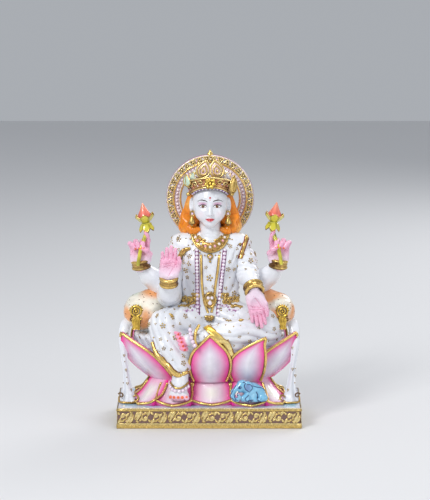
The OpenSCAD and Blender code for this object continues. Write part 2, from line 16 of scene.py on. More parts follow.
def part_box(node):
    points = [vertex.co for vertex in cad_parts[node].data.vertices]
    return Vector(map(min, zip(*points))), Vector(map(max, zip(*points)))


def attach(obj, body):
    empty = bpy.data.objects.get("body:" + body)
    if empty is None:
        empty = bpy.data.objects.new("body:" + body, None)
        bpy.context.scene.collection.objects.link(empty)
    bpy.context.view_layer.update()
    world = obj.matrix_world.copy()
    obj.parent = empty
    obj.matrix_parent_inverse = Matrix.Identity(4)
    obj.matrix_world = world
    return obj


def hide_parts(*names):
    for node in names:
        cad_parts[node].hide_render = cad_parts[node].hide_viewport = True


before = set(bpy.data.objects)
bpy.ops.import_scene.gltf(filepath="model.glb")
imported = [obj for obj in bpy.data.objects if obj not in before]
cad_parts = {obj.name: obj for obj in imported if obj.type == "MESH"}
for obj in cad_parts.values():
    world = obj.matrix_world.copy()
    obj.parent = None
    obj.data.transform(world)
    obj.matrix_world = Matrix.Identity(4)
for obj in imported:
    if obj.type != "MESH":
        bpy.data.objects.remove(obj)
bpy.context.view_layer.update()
MM = 0.001


def spot(node, u=0.5, v=0.5, w=0.5):
    """A point at these shares of a CAD node's box, in millimetres."""
    low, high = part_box(node)
    return np.array([low[i] + (high[i] - low[i]) * s for i, s in enumerate((u, v, w))]) / MM


def circle(count):
    """The angles of this many even steps round a full turn."""
    return np.linspace(0, 2 * math.pi, count, endpoint=False)


# ---------- distance fields: negative inside, millimetres ----------

def smooth_min(a, b, k):
    h = np.clip(0.5 + 0.5 * (b - a) / k, 0, 1)
    return b + (a - b) * h - k * h * (1 - h)


def smooth_max(a, b, k):
    return -smooth_min(-a, -b, k)


def blend_all(fields, k):
    total = fields[0]
    for f in fields[1:]:
        total = smooth_min(total, f, k)
    return total


def egg(p, centre, radii):
    """An ellipsoid."""
    q = (p - np.array(centre, float)) / np.array(radii, float)
    k0 = np.sqrt((q * q).sum(-1))
    k1 = np.sqrt(((q / np.array(radii, float)) ** 2).sum(-1))
    return k0 * (k0 - 1) / np.maximum(k1, 1e-6)


def cone(p, a, b):
    """A round cone between two balls (x, y, z, r)."""
    a, b = np.array(a, float), np.array(b, float)
    along = b[:3] - a[:3]
    t = np.clip(((p - a[:3]) @ along) / (along @ along), 0, 1)
    d = p - a[:3] - t[:, None] * along
    return np.sqrt((d * d).sum(-1)) - (a[3] + t * (b[3] - a[3]))


def limb(p, balls, k=2.0):
    """Round cones through a list of balls (x, y, z, r), blended."""
    return blend_all([cone(p, a, b) for a, b in zip(balls[:-1], balls[1:])], k)


def slab(p, centre, half, rounding):
    """A box with rounded edges."""
    q = np.abs(p - np.array(centre, float)) - np.array(half, float) + rounding
    outside = np.sqrt((np.maximum(q, 0) ** 2).sum(-1))
    return outside + np.minimum(q.max(-1), 0) - rounding


def step_between(x, low, high):
    """A smooth step from 0 at low to 1 at high."""
    t = np.clip((x - low) / (high - low), 0, 1)
    return t * t * (3 - 2 * t)


def turned(p, centre, axis, degrees):
    """Points turned about an axis through a centre, so that a shape in them is turned the other way."""
    a = math.radians(degrees)
    i, j = {"x": (1, 2), "y": (2, 0), "z": (0, 1)}[axis]
    q = p - np.array(centre, float)
    r = q.copy()
    r[:, i] = q[:, i] * math.cos(a) - q[:, j] * math.sin(a)
    r[:, j] = q[:, i] * math.sin(a) + q[:, j] * math.cos(a)
    return r + np.array(centre, float)


# ---------- meshes from fields ----------

# Grid cells along a block, blocks in one thread's task, threads, and how far from the surface a block matters
BLOCK = 8
BLOCKS_A_TASK = 60
THREADS = 4
MARGIN = 2.5
CORNERS = np.array([[i, j, k] for i in (0, 1) for j in (0, 1) for k in (0, 1)])


def sample(field, low, high, step):
    """The field on a grid, worked out only in the blocks near its surface."""
    low = np.array(low, float)
    blocks = np.ceil((np.array(high, float) - low) / (step * BLOCK)).astype(int)
    span = step * BLOCK
    corners = np.stack(np.meshgrid(*[np.arange(n) for n in blocks], indexing="ij"), -1)
    rough = field((low + (corners + 0.5) * span).reshape(-1, 3)).reshape(blocks)
    grid = np.where(rough < 0, -1.0, 1.0)
    for axis in range(3):
        grid = np.repeat(grid, BLOCK, axis)
    near = np.argwhere(np.abs(rough) < span * 0.9 + MARGIN)
    cell = np.stack(np.meshgrid(*[np.arange(BLOCK)] * 3, indexing="ij"), -1).reshape(-1, 3)

    def work(chunk):
        index = (chunk[:, None] * BLOCK + cell[None]).reshape(-1, 3)
        grid[tuple(index.T)] = field(low + (index + 0.5) * step)

    with ThreadPoolExecutor(THREADS) as pool:
        list(pool.map(work, np.array_split(near, max(1, len(near) // BLOCKS_A_TASK))))
    for axis in range(3):
        for end in (0, -1):
            edge = [slice(None)] * 3
            edge[axis] = end
            grid[tuple(edge)] = np.maximum(grid[tuple(edge)], 0.2 * step)
    return low + 0.5 * step, grid


def carve(field, low, high, step):
    """Vertices and quads on the field's surface, one vertex in each grid cell that it crosses."""
    origin, grid = sample(field, low, high, step)
    inside = grid < 0
    shape = [n - 1 for n in grid.shape]
    count = sum(inside[i:i + shape[0], j:j + shape[1], k:k + shape[2]].astype(np.int8) for i, j, k in CORNERS)
    active = (count > 0) & (count < 8)
    number = np.full(shape, -1)
    cells = np.argwhere(active)
    number[active] = np.arange(len(cells))
    total = np.zeros((len(cells), 3))
    weight = np.zeros(len(cells))
    for a in CORNERS:
        for axis in range(3):
            if a[axis]:
                continue
            b = a.copy()
            b[axis] = 1
            fa, fb = grid[tuple((cells + a).T)], grid[tuple((cells + b).T)]
            cut = (fa < 0) != (fb < 0)
            t = fa[cut] / (fa[cut] - fb[cut])
            total[cut] += a + t[:, None] * (b - a)
            weight[cut] += 1
    verts = origin + step * (cells + total / weight[:, None])
    quads = []
    for axis in range(3):
        u, v = (axis + 1) % 3, (axis + 2) % 3
        first, second = [slice(None)] * 3, [slice(None)] * 3
        first[axis], second[axis] = slice(0, -1), slice(1, None)
        edges = np.argwhere(inside[tuple(first)] != inside[tuple(second)])
        edges = edges[(edges[:, u] > 0) & (edges[:, v] > 0)
                      & (edges[:, u] < grid.shape[u] - 1) & (edges[:, v] < grid.shape[v] - 1)]
        around = []
        for du, dv in ((-1, -1), (0, -1), (0, 0), (-1, 0)):
            q = edges.copy()
            q[:, u] += du
            q[:, v] += dv
            around.append(number[tuple(q.T)])
        quad = np.stack(around, 1)
        outward = inside[tuple(edges.T)]
        quads.append(np.where(outward[:, None], quad, quad[:, ::-1]))
    quads = np.concatenate(quads)
    return relax(verts, quads, 2), quads


def relax(verts, quads, times):
    """Each vertex moves part of the way to the mean of its neighbours, then part of the way back."""
    a = quads.ravel()
    b = np.roll(quads, -1, 1).ravel()
    links = np.bincount(a, minlength=len(verts)) + np.bincount(b, minlength=len(verts))
    for _ in range(times):
        for share in (0.5, -0.45):
            mean = np.stack([np.bincount(a, verts[b, i], len(verts)) + np.bincount(b, verts[a, i], len(verts))
                             for i in range(3)], 1) / links[:, None]
            verts = verts + share * (mean - verts)
    return verts


def hollows(verts, quads, spread=3):
    """How deep each vertex sits below its surroundings, in millimetres: above 0 in a groove."""
    a = quads.ravel()
    b = np.roll(quads, -1, 1).ravel()
    links = np.bincount(a, minlength=len(verts)) + np.bincount(b, minlength=len(verts))
    normals = vertex_normals(verts, quads)
    mean = verts
    for _ in range(spread):
        mean = np.stack([np.bincount(a, mean[b, i], len(verts)) + np.bincount(b, mean[a, i], len(verts))
                         for i in range(3)], 1) / links[:, None]
    return ((mean - verts) * normals).sum(1)


def vertex_normals(verts, quads):
    face = np.cross(verts[quads[:, 2]] - verts[quads[:, 0]], verts[quads[:, 3]] - verts[quads[:, 1]])
    normals = np.zeros_like(verts)
    for k in range(4):
        for i in range(3):
            normals[:, i] += np.bincount(quads[:, k], face[:, i], len(verts))
    return normals / np.maximum(np.linalg.norm(normals, axis=1), 1e-9)[:, None]


# ---------- meshes from rules ----------

def outward(verts, faces):
    """The faces, turned over if they point into the closed mesh."""
    a, b, c, d = (verts[faces[:, i]] for i in range(4))
    volume = (a * (np.cross(b, c) + np.cross(c, d))).sum()
    return faces if volume > 0 else faces[:, ::-1]


def sheet_faces(rows, cols, closed=False):
    """Quads over a grid of rows by cols points; closed joins each row's ends."""
    i, j = np.meshgrid(np.arange(rows - 1), np.arange(cols if closed else cols - 1), indexing="ij")
    k = (j + 1) % cols
    return np.stack([i * cols + j, i * cols + k, (i + 1) * cols + k, (i + 1) * cols + j], -1).reshape(-1, 4)


def hoop_faces(rows, cols):
    """Quads over rows of cols points that close both ways, like a tyre's skin."""
    return sheet_faces(rows + 1, cols, True) % (rows * cols)


def lathe(profile, sides=24):
    """A profile of (radius, height) points turned about Z; it starts and ends on the axis."""
    profile = np.array(profile, float)
    a = circle(sides)
    ring = np.stack([np.cos(a), np.sin(a)], -1)
    verts = np.concatenate([profile[:, None, :1] * ring[None], np.repeat(profile[:, None, 1:], sides, 1)], -1)
    return verts.reshape(-1, 3), sheet_faces(len(profile), sides, True)


def ball_mesh(rows=6, sides=10):
    a = np.linspace(-math.pi / 2, math.pi / 2, rows + 1)
    return lathe(np.stack([np.cos(a), np.sin(a)], -1), sides)


def copies(base, places):
    """One mesh of many copies of base, each at (centre, 3 by 3 matrix)."""
    verts, faces = base
    all_verts = [verts @ np.array(m, float).T + np.array(c, float) for c, m in places]
    all_faces = [faces + i * len(verts) for i in range(len(places))]
    return np.concatenate(all_verts), np.concatenate(all_faces)


def beads(centres, radii, rows=6, sides=10):
    radii = np.broadcast_to(radii, (len(centres),))
    return copies(ball_mesh(rows, sides), [(c, np.eye(3) * r) for c, r in zip(centres, radii)])


def facing(normal, up=(0, 0, 1)):
    """A matrix whose third column is the normal, and whose second is as near to up as it can be."""
    n = np.array(normal, float)
    n /= np.linalg.norm(n)
    x = np.cross(up, n)
    if np.linalg.norm(x) < 1e-3:
        x = np.cross((0, 1, 0), n)
    x /= np.linalg.norm(x)
    return np.stack([x, np.cross(n, x), n], 1)


def through(points, count, closed=False):
    """count points along a smooth curve (Catmull-Rom) through the given ones."""
    p = np.array(points, float)
    before, after = (p[-1:], p[:2]) if closed else (2 * p[:1] - p[1:2], 2 * p[-1:] - p[-2:-1])
    p = np.concatenate([before, p, after])
    spans = len(p) - 3
    s = np.linspace(0, spans, count, endpoint=not closed)
    i = np.minimum(s.astype(int), spans - 1)
    t = (s - i)[:, None]
    a, b, c, d = p[i], p[i + 1], p[i + 2], p[i + 3]
    return 0.5 * (2 * b + (c - a) * t + (2 * a - 5 * b + 4 * c - d) * t ** 2
                  + (3 * b - a - 3 * c + d) * t ** 3)


def tube(path, radius, sides=8, closed=False, flat=1.0, normals=None):
    """A tube along a path. flat below 1 thins it along the normals, so that it lies like a ribbon."""
    path = np.array(path, float)
    radius = np.broadcast_to(radius, (len(path),))
    ahead = np.roll(path, -1, 0) - np.roll(path, 1, 0)
    if not closed:
        ahead[0], ahead[-1] = path[1] - path[0], path[-1] - path[-2]
    ahead /= np.maximum(np.linalg.norm(ahead, axis=1), 1e-9)[:, None]
    if normals is None:
        n = np.cross(ahead[0], (0, 0, 1) if abs(ahead[0][2]) < 0.9 else (0, 1, 0))
        normals = []
        for t in ahead:
            n = n - t * (n @ t)
            n = n / np.linalg.norm(n)
            normals.append(n)
    normals = np.array(normals, float)
    normals = normals - ahead * (normals * ahead).sum(1)[:, None]
    normals /= np.maximum(np.linalg.norm(normals, axis=1), 1e-9)[:, None]
    across = np.cross(ahead, normals)
    a = circle(sides)
    verts = path[:, None] + radius[:, None, None] * (np.cos(a)[None, :, None] * across[:, None]
                                                     + flat * np.sin(a)[None, :, None] * normals[:, None])
    faces = sheet_faces(len(path) + (1 if closed else 0), sides, True) % (len(path) * sides)
    verts = verts.reshape(-1, 3)
    if not closed:
        ends = np.arange(sides)
        first, last = len(verts), len(verts) + 1
        verts = np.concatenate([verts, path[:1], path[-1:]])
        caps = [[e, (e + 1) % sides, first, first] for e in ends]
        base = (len(path) - 1) * sides
        caps += [[base + (e + 1) % sides, base + e, last, last] for e in ends]
        faces = np.concatenate([faces, np.array(caps)])
    return verts, outward(verts, faces)


def join(*parts):
    """One mesh of several, and the number of the part that each vertex came from."""
    verts, faces, source, n = [], [], [], 0
    for k, (v, f) in enumerate(parts):
        verts.append(v)
        faces.append(f + n)
        source.append(np.full(len(v), k))
        n += len(v)
    return np.concatenate(verts), np.concatenate(faces), np.concatenate(source)


def lifted(outline, height):
    """A flat outline as a path at one height over its plane."""
    return np.concatenate([outline, np.full((len(outline), 1), height)], 1)


# ---------- colours and materials ----------

def rgb(r, g, b):
    """A colour given as it looks on a screen, 0 to 255, turned to light."""
    return np.array([(c / 255) ** 2.2 for c in (r, g, b)])


WHITE = rgb(238, 240, 245)
COOL_SHADE = rgb(196, 203, 218)
GOLD = rgb(240, 203, 120)
GOLD_DARK = rgb(122, 76, 30)
GOLD_PALE = rgb(252, 230, 164)
OLD_GOLD = rgb(206, 176, 104)
PINK = rgb(250, 34, 156)
LILAC = rgb(220, 214, 232)
PALM = rgb(248, 182, 210)
PALM_DEEP = rgb(214, 62, 120)
ORANGE = rgb(240, 138, 22)
ORANGE_PALE = rgb(252, 186, 96)
ORANGE_DEEP = rgb(206, 86, 8)
PEARL = rgb(244, 222, 240)


def mixed(a, b, share):
    """Colours from a at share 0 to b at share 1, one for each share."""
    share = np.clip(np.asarray(share, float), 0, 1)[..., None]
    return np.broadcast_to(a, (len(share), 3)) * (1 - share) + np.broadcast_to(b, (len(share), 3)) * share


def over(tint, colour, share):
    """The tint covered by another colour, with one share for each vertex."""
    share = share[:, None]
    return tint * (1 - share) + colour * share


def wobble(p, size, seed=0):
    """A smooth random value from -1 to 1 over points, with features of about this size."""
    p = np.asarray(p, float) / size
    total = np.zeros(len(p))
    r = np.random.default_rng(100 + seed)
    for _ in range(6):
        d = r.normal(size=3)
        total += np.sin(p @ d * 1.7 + r.uniform(0, 6.28))
    return total / 3.2


def material(name, rough, metallic=0.0, coat=0.0, mottle=0.06, mottle_size=9.0, bump=0.05, bump_size=1.6,
             sheen=0.0):
    """Paint in the mesh's own tint, mottled by noise, with fine bumps. Sizes are in millimetres."""
    m = bpy.data.materials.new(name)
    m.use_nodes = True
    nodes, links = m.node_tree.nodes, m.node_tree.links
    shader = nodes["Principled BSDF"]
    shader.inputs["Metallic"].default_value = metallic
    shader.inputs["Coat Weight"].default_value = coat
    shader.inputs["Coat Roughness"].default_value = 0.12
    shader.inputs["Sheen Weight"].default_value = sheen
    tint = nodes.new("ShaderNodeAttribute")
    tint.attribute_name = "tint"
    place = nodes.new("ShaderNodeTexCoord")

    def noise(size, detail):
        n = nodes.new("ShaderNodeTexNoise")
        n.inputs["Scale"].default_value = 1 / (size * MM)
        n.inputs["Detail"].default_value = detail
        links.new(place.outputs["Object"], n.inputs["Vector"])
        return n.outputs["Fac"]

    def ranged(value, low, high):
        r = nodes.new("ShaderNodeMapRange")
        r.inputs["From Min"].default_value = 0.3
        r.inputs["From Max"].default_value = 0.7
        r.inputs["To Min"].default_value = low
        r.inputs["To Max"].default_value = high
        links.new(value, r.inputs["Value"])
        return r.outputs["Result"]

    clouds = noise(mottle_size, 4)
    shade = nodes.new("ShaderNodeHueSaturation")
    links.new(ranged(clouds, 1 - mottle, 1 + mottle), shade.inputs["Value"])
    links.new(tint.outputs["Color"], shade.inputs["Color"])
    links.new(shade.outputs["Color"], shader.inputs["Base Color"])
    links.new(ranged(noise(mottle_size * 0.35, 3), rough * 0.8, rough * 1.25), shader.inputs["Roughness"])
    bumps = nodes.new("ShaderNodeBump")
    bumps.inputs["Strength"].default_value = bump
    bumps.inputs["Distance"].default_value = 0.4 * MM
    links.new(noise(bump_size, 3), bumps.inputs["Height"])
    links.new(bumps.outputs["Normal"], shader.inputs["Normal"])
    return m


M_RESIN = material("varnished_resin", 0.24, coat=0.35, mottle=0.035, mottle_size=16, bump=0.06, bump_size=2.4)
M_CLOTH = material("painted_cloth", 0.3, coat=0.25, mottle=0.045, mottle_size=11, bump=0.1, bump_size=1.3)
M_SKIN = material("painted_skin", 0.3, coat=0.3, mottle=0.05, mottle_size=6, bump=0.05, bump_size=1.2)
M_PETAL = material("airbrushed_petal", 0.22, coat=0.5, mottle=0.07, mottle_size=12, bump=0.07, bump_size=2.2)
M_GOLD = material("bright_gilding", 0.24, metallic=0.72, mottle=0.2, mottle_size=3.2, bump=0.3, bump_size=0.9)
M_OLD_GOLD = material("antique_gilding", 0.25, metallic=0.66, mottle=0.28, mottle_size=2.6, bump=0.4,
                      bump_size=0.8)
M_HAIR = material("painted_hair", 0.34, coat=0.3, mottle=0.16, mottle_size=3.0, bump=0.15, bump_size=1.0)
M_PEARL = material("pearl_drops", 0.16, coat=0.8, mottle=0.08, mottle_size=2.4, bump=0.04, bump_size=1.0)
M_LINE = material("painted_line", 0.4, mottle=0.2, mottle_size=2.0, bump=0.1, bump_size=0.8)
M_CUSHION = material("clouded_cushion", 0.3, coat=0.3, mottle=0.08, mottle_size=7, bump=0.12, bump_size=2.0)
M_STEEL = material("dowel_steel", 0.34, metallic=1.0, mottle=0.08, mottle_size=1.2, bump=0.2, bump_size=0.6)
M_BLUE = material("blue_glaze", 0.2, coat=0.6, mottle=0.1, mottle_size=4, bump=0.08, bump_size=1.4)

SLOTS = {M_RESIN: "white_resin", M_CLOTH: "painted_cloth", M_SKIN: "painted_skin", M_PETAL: "petal_paint",
         M_GOLD: "bright_gilt", M_OLD_GOLD: "gilt_relief", M_HAIR: "hair_paint", M_PEARL: "pearl_paint",
         M_LINE: "bright_gilt", M_CUSHION: "cushion_paint", M_STEEL: "dowel_steel", M_BLUE: "blue_glaze"}

# How strongly painted shade darkens gilding where it turns away, from where to where, and towards which brown
GILT_SHADE_STRENGTH = 0.86
GILT_SHADE_REACH = 0.34, 0.92
GILT_SHADE_BROWN = rgb(86, 50, 28)


def antique_shade(verts, faces, tint, gilt_shade):
    """The tint darkened to brown where gilding turns away from the outside of the statue, as painted shade.
    """
    out = np.stack([(verts[:, 0] - 1) * 0.25, verts[:, 1] - 8, np.full(len(verts), 14.0)], 1)
    on_halo = (verts[:, 1] > 24) & (verts[:, 1] < 30) & (verts[:, 2] > 190)
    out[on_halo] = (0, -1, 0)
    out /= np.maximum(np.linalg.norm(out, axis=1), 1e-6)[:, None]
    turned_away = step_between(1 - (vertex_normals(verts, faces) * out).sum(1), *GILT_SHADE_REACH)
    return over(np.broadcast_to(tint, verts.shape), GILT_SHADE_BROWN, turned_away * gilt_shade)


def patina(low, more, size, seed, base=GOLD, deep=GOLD_DARK):
    """A rule for piece: gold with cloudy patches of a second colour."""
    return lambda v: mixed(base, deep, low + more * np.abs(wobble(v, size, seed)))


def piece(name, mesh, paint, tint, stands_for=(), slot=None, gilt_shade=GILT_SHADE_STRENGTH):
    """A Blender object from millimetre vertices and quads.

    Its tint is one colour, one colour a vertex, or a rule that makes one from the vertices.
    """
    verts, faces = np.asarray(mesh[0], float), np.asarray(mesh[1])
    tint = tint(verts) if callable(tint) else tint
    data = bpy.data.meshes.new(name)
    data.from_pydata((verts * MM).tolist(), [], [list(dict.fromkeys(f)) for f in faces.tolist()])
    data.validate()
    data.polygons.foreach_set("use_smooth", np.ones(len(data.polygons), bool))
    colours = np.ones((len(verts), 4))
    # gilt pieces get painted shade: darker brown where they turn away from the outside of the statue
    colours[:, :3] = antique_shade(verts, faces, tint, gilt_shade) if paint in (M_GOLD, M_OLD_GOLD) else tint
    layer = data.color_attributes.new("tint", "FLOAT_COLOR", "POINT")
    layer.data.foreach_set("color", colours.ravel())
    data.materials.append(paint)
    ob = bpy.data.objects.new(name, data)
    bpy.context.scene.collection.objects.link(ob)
    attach(ob, "root")
    slot or SLOTS[paint]
    if stands_for:
        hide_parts(*stands_for)


def jewels(name, mesh, tints, stands_for=(), slot="bright_gilt"):
    """A piece of many equal stones or pearls, each with its own colour."""
    piece(name, mesh, M_PEARL, np.repeat(np.array(tints), len(mesh[0]) // len(tints), 0), stands_for, slot)


# How far before a point its ray starts
RAY_START = 60.0


def tree_of(mesh):
    """Something to throw rays at, in millimetres."""
    return BVHTree.FromPolygons(mesh[0].tolist(), mesh[1].tolist())


def lay_on(tree, points, lift=0.0):
    """Where rays from well before each point meet the surface, raised by lift; with the normals."""
    d = np.array((0.0, 1.0, 0.0))
    placed, normals = [], []
    for p in np.asarray(points, float):
        hit, normal, _, _ = tree.ray_cast(Vector(p - d * RAY_START), Vector(d))
        if hit is None:
            hit, normal, _, _ = tree.find_nearest(Vector(p))
        if normal.dot(Vector(d)) > 0:
            normal = -normal
        placed.append(np.array(hit) + lift * np.array(normal))
        normals.append(np.array(normal))
    return np.array(placed), np.array(normals)


def lay_near(tree, points, lift=0.0):
    """The nearest place on the surface to each point, raised by lift; with the normals."""
    placed, normals = [], []
    for p in np.asarray(points, float):
        hit, normal, _, _ = tree.find_nearest(Vector(p))
        out = np.array(normal)
        placed.append(np.array(hit) + lift * out)
        normals.append(out)
    return np.array(placed), np.array(normals)


# ---------- plinth ----------

LOW, HIGH = (np.array(c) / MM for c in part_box("plinth_block"))
TOP_Z = HIGH[2]
BAND_LOW, BAND_HIGH = (np.array(c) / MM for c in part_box("plinth_foot_band"))
CAP_LOW, CAP_HIGH = (np.array(c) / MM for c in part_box("plinth_cap_band"))
PROUD = LOW[0] - BAND_LOW[0]


def moulding(profile, subdivide=24):
    """A closed profile of (distance outside the block, height) run round the block with mitred corners."""
    profile = np.array(profile, float)
    hx, hy = HIGH[0], HIGH[1]
    ring = []
    for sx, sy, nx, ny in ((-1, -1, 1, -1), (1, -1, 1, 1), (1, 1, -1, 1), (-1, 1, -1, -1)):
        for i in range(subdivide):
            t = i / subdivide
            ring.append((sx + (nx - sx) * t, sy + (ny - sy) * t))
    rows = []
    for u, v in ring:
        rows.append([(u * (hx + d), v * (hy + d), z) for d, z in profile])
    verts = np.array(rows)
    faces = hoop_faces(len(ring), len(profile))
    return verts.reshape(-1, 3), outward(verts.reshape(-1, 3), faces)


def rolled(bottom, top, out, back=-0.8, arc=9):
    """A profile with a rounded front from bottom to top."""
    a = np.linspace(-80, 80, arc)
    mid, half = (bottom + top) / 2, (top - bottom) / 2
    full = math.sin(math.radians(80))
    front = [(out - 0.55 + 0.55 * math.cos(math.radians(q)), mid + half * math.sin(math.radians(q)) / full)
             for q in a]
    return [(back, bottom)] + front + [(back, top)]


def scroll_height(u, v, half):
    """Height, 0 to 1, of one unit of the running scroll.

    u runs from -half to half along it and v across it, both in half heights of the strip.
    """
    t = np.linspace(0, 1, 26)
    a = np.linspace(-0.9, 4.6, 44)
    r = 0.3 + 0.085 * a
    strokes = [
        # the volute and its bud
        (np.stack([-0.42 - r * np.cos(a + 0.5), 0.12 + r * np.sin(a + 0.5)], 1), np.linspace(0.24, 0.13, 44)),
        (np.array([[-0.42, 0.12], [-0.34, 0.2]]), np.array([0.27, 0.2])),
        # the big leaf from corner to corner, with lobes along it
        (np.stack([0.12 + 0.95 * t, -0.95 + 1.75 * t ** 1.25], 1), 0.08 + 0.25 * np.sin(math.pi * t ** 0.8)),
        (np.stack([0.55 + 0.75 * t, -0.95 + 0.5 * t + 0.75 * t * t], 1), 0.06 + 0.2 * np.sin(math.pi * t)),
        (np.stack([0.1 + 0.42 * t, 0.1 + 0.75 * t - 0.2 * t * t], 1), 0.06 + 0.16 * np.sin(math.pi * t)),
        (np.stack([-1.32 + 0.5 * t, -0.88 + 0.75 * t * t], 1), 0.07 + 0.19 * np.sin(math.pi * t)),
        (np.stack([-1.3 + 0.3 * t, 0.86 - 0.5 * t], 1), 0.06 + 0.15 * np.sin(math.pi * t)),
        (np.stack([-0.9 + 0.6 * t, -0.86 + 0.16 * np.sin(3 * t)], 1), 0.05 + 0.13 * np.sin(math.pi * t)),
        (np.stack([0.62 + 0.5 * t, 0.88 - 0.3 * t], 1), 0.06 + 0.13 * np.sin(math.pi * t)),
        (np.array([[1.16, 0.36], [1.17, 0.34]]), np.array([0.15, 0.15])),
        (np.array([[-0.02, -0.72], [0.0, -0.72]]), np.array([0.13, 0.13]))]
    height = np.zeros_like(u)
    for shift in (-2 * half, 0, 2 * half):
        for line, width in strokes:
            d = np.sqrt((u[..., None] - shift - line[:, 0]) ** 2 + (v[..., None] - line[:, 1]) ** 2) / width
            height = np.maximum(height, (np.sqrt(np.clip(1 - d * d, 0, 1))
                                         * np.minimum(1, width / 0.2)).max(-1))
    return height


def frieze_panel(length, low_z, high_z, units, step=0.34):
    """A strip of the running scroll as a grid: its place along and up the face, its relief and its colour."""
    half_z = (high_z - low_z) / 2
    cols, rows = int(length / step), int(2 * half_z / step)
    x, z = np.meshgrid(np.linspace(0, length, cols), np.linspace(-1, 1, rows))
    pitch = length / units
    index = np.minimum((x / pitch).astype(int), units - 1)
    u = (x - (index + 0.5) * pitch) / half_z
    turn = np.where(index % 2 == 0, 1, -1)
    unit = scroll_height(u * turn, z * turn, pitch / half_z / 2)
    relief = unit * step_between(1 - np.abs(z), 0.0, 0.06)
    place = np.stack([x.ravel(), z.ravel() * half_z, 0 * x.ravel()], 1)
    glint = step_between(wobble(place, 2.6, 8), 0.35, 0.8)
    recess = mixed(rgb(92, 52, 42), rgb(206, 172, 190), glint * 0.8)
    # gold over the dark recess paint; the blend runs up the scroll flanks, darkening them as painted shade,
    # and the crests turn pale as a painted highlight
    tint = over(recess, OLD_GOLD, step_between(relief.ravel(), 0.12, 0.6))
    tint = over(tint, GOLD_PALE, step_between(relief.ravel(), 0.6, 0.98) * 0.7)
    return x - length / 2, (low_z + high_z) / 2 + z * half_z, relief, tint


def build_plinth():
    # the block: rounded edges, blue clouds on the top, near-white sides behind the gilding
    half = (HIGH - LOW) / 2
    mid = (HIGH + LOW) / 2
    depth = PROUD * 0.9
    verts, faces = carve(lambda p: slab(p, mid, half - (0, 0, 0.05), 0.7), LOW - 2, HIGH + 2, 1.6)
    top = step_between(verts[:, 2], TOP_Z - 1.2, TOP_Z - 0.3)
    cloud = 0.5 + 0.5 * wobble(verts * (1, 1.6, 1), 17, 3)
    edge = step_between(np.minimum(half[0] - np.abs(verts[:, 0]), half[1] - np.abs(verts[:, 1])), 0, 7)
    blue = mixed(rgb(226, 226, 238), rgb(150, 200, 226), cloud * edge)
    side = mixed(rgb(120, 92, 84), WHITE, top)
    tint = over(side, blue, top)
    piece("plinth_body", (verts, faces), M_RESIN, tint, ["plinth_block"], "painted_plinth")

    foot = moulding(rolled(BAND_LOW[2] + 0.02, BAND_HIGH[2], PROUD))
    v = foot[0]
    # paler towards the top edge: a painted highlight
    high = step_between(v[:, 2], BAND_HIGH[2] - 2.4, BAND_HIGH[2] - 0.6)
    shade = mixed(OLD_GOLD * 1.15, GOLD_PALE, high * 0.6)
    piece("foot_moulding", foot, M_OLD_GOLD, shade, ["plinth_foot_band"])
    cap = moulding(rolled(CAP_LOW[2], CAP_HIGH[2] - 0.9, PROUD))
    lip = moulding(rolled(CAP_HIGH[2] - 1.1, CAP_HIGH[2] + 0.3, PROUD * 0.75))
    v, f, part = join(cap, lip)
    piece("cap_fillet", (v, f), M_OLD_GOLD, np.where(part[:, None] == 0, OLD_GOLD * 1.1, rgb(232, 216, 178)),
          ["plinth_cap_band"])

    meshes, tints = [], []
    low_z, high_z = BAND_HIGH[2] - 0.1, CAP_LOW[2] + 0.1
    for side in range(4):
        along, across = (half[0], half[1]) if side % 2 == 0 else (half[1], half[0])
        x, z, relief, colour = frieze_panel(2 * along, low_z, high_z, 11 if side % 2 == 0 else 6)
        out = across - 0.25 + relief * depth
        a = math.radians(90 * side)
        points = np.stack([x * math.cos(a) + out * math.sin(a), x * math.sin(a) - out * math.cos(a), z], -1)
        meshes.append((points.reshape(-1, 3), sheet_faces(*x.shape)))
        tints.append(colour)
    piece("scroll_frieze", join(*meshes), M_OLD_GOLD, np.concatenate(tints), ["plinth_frieze"])


# ---------- lotus petals ----------

CREASE_Z = 46
MID_X = spot("halo_ring")[0]

# Each standing petal: name, CAD node, root, tip, width and heading in plan
STANDING = [("standing_petal_front", "lotus_petal_front", (1, -29, CREASE_Z), (1, -47, 102), 46.5, 0),
            ("standing_petal_front_right", "lotus_petal_front_right", (41, -27, CREASE_Z), (62.5, -43, 99),
             40, 1),
            ("standing_petal_right", "lotus_petal_right", (57, -11, CREASE_Z), (96, -17, 100), 49, 30),
            ("standing_petal_left", "lotus_petal_left", (-54, -15, CREASE_Z), (-97, -20, 100), 50, -38),
            ("standing_petal_rear_1", "lotus_petals_rear", (58, 17, CREASE_Z), (85, 29, 97), 41, 118),
            ("standing_petal_rear_2", "lotus_petals_rear", (31, 33, CREASE_Z), (42, 52, 97), 40, 165),
            ("standing_petal_rear_3", "lotus_petals_rear", (-2, 35, CREASE_Z), (-2, 54, 99), 40, 180),
            ("standing_petal_rear_4", "lotus_petals_rear", (-33, 33, CREASE_Z), (-44, 52, 97), 40, 195),
            ("standing_petal_rear_5", "lotus_petals_rear", (-58, 17, CREASE_Z), (-85, 29, 97), 41, 242)]


# The two side petals are gilded along the edge that faces the figure only
INNER_EDGE = {"standing_petal_right": -1.0, "standing_petal_left": 1.0}


# How far the middle line of a petal hangs back before it swings over to its tip
LEAN = {"standing_petal_front_right": 21.0, "standing_petal_left": -10.0, "standing_petal_right": 9.0}
OUTLINE = through([(0, 0.78, 0), (0.2, 0.94, 0), (0.38, 1, 0), (0.56, 0.94, 0), (0.7, 0.77, 0),
                   (0.82, 0.5, 0), (0.92, 0.24, 0), (1, 0.02, 0)], 120)


def petal_share(t):
    """Half width of a standing petal at the share t of its height."""
    return np.interp(t, OUTLINE[:, 0], OUTLINE[:, 1])


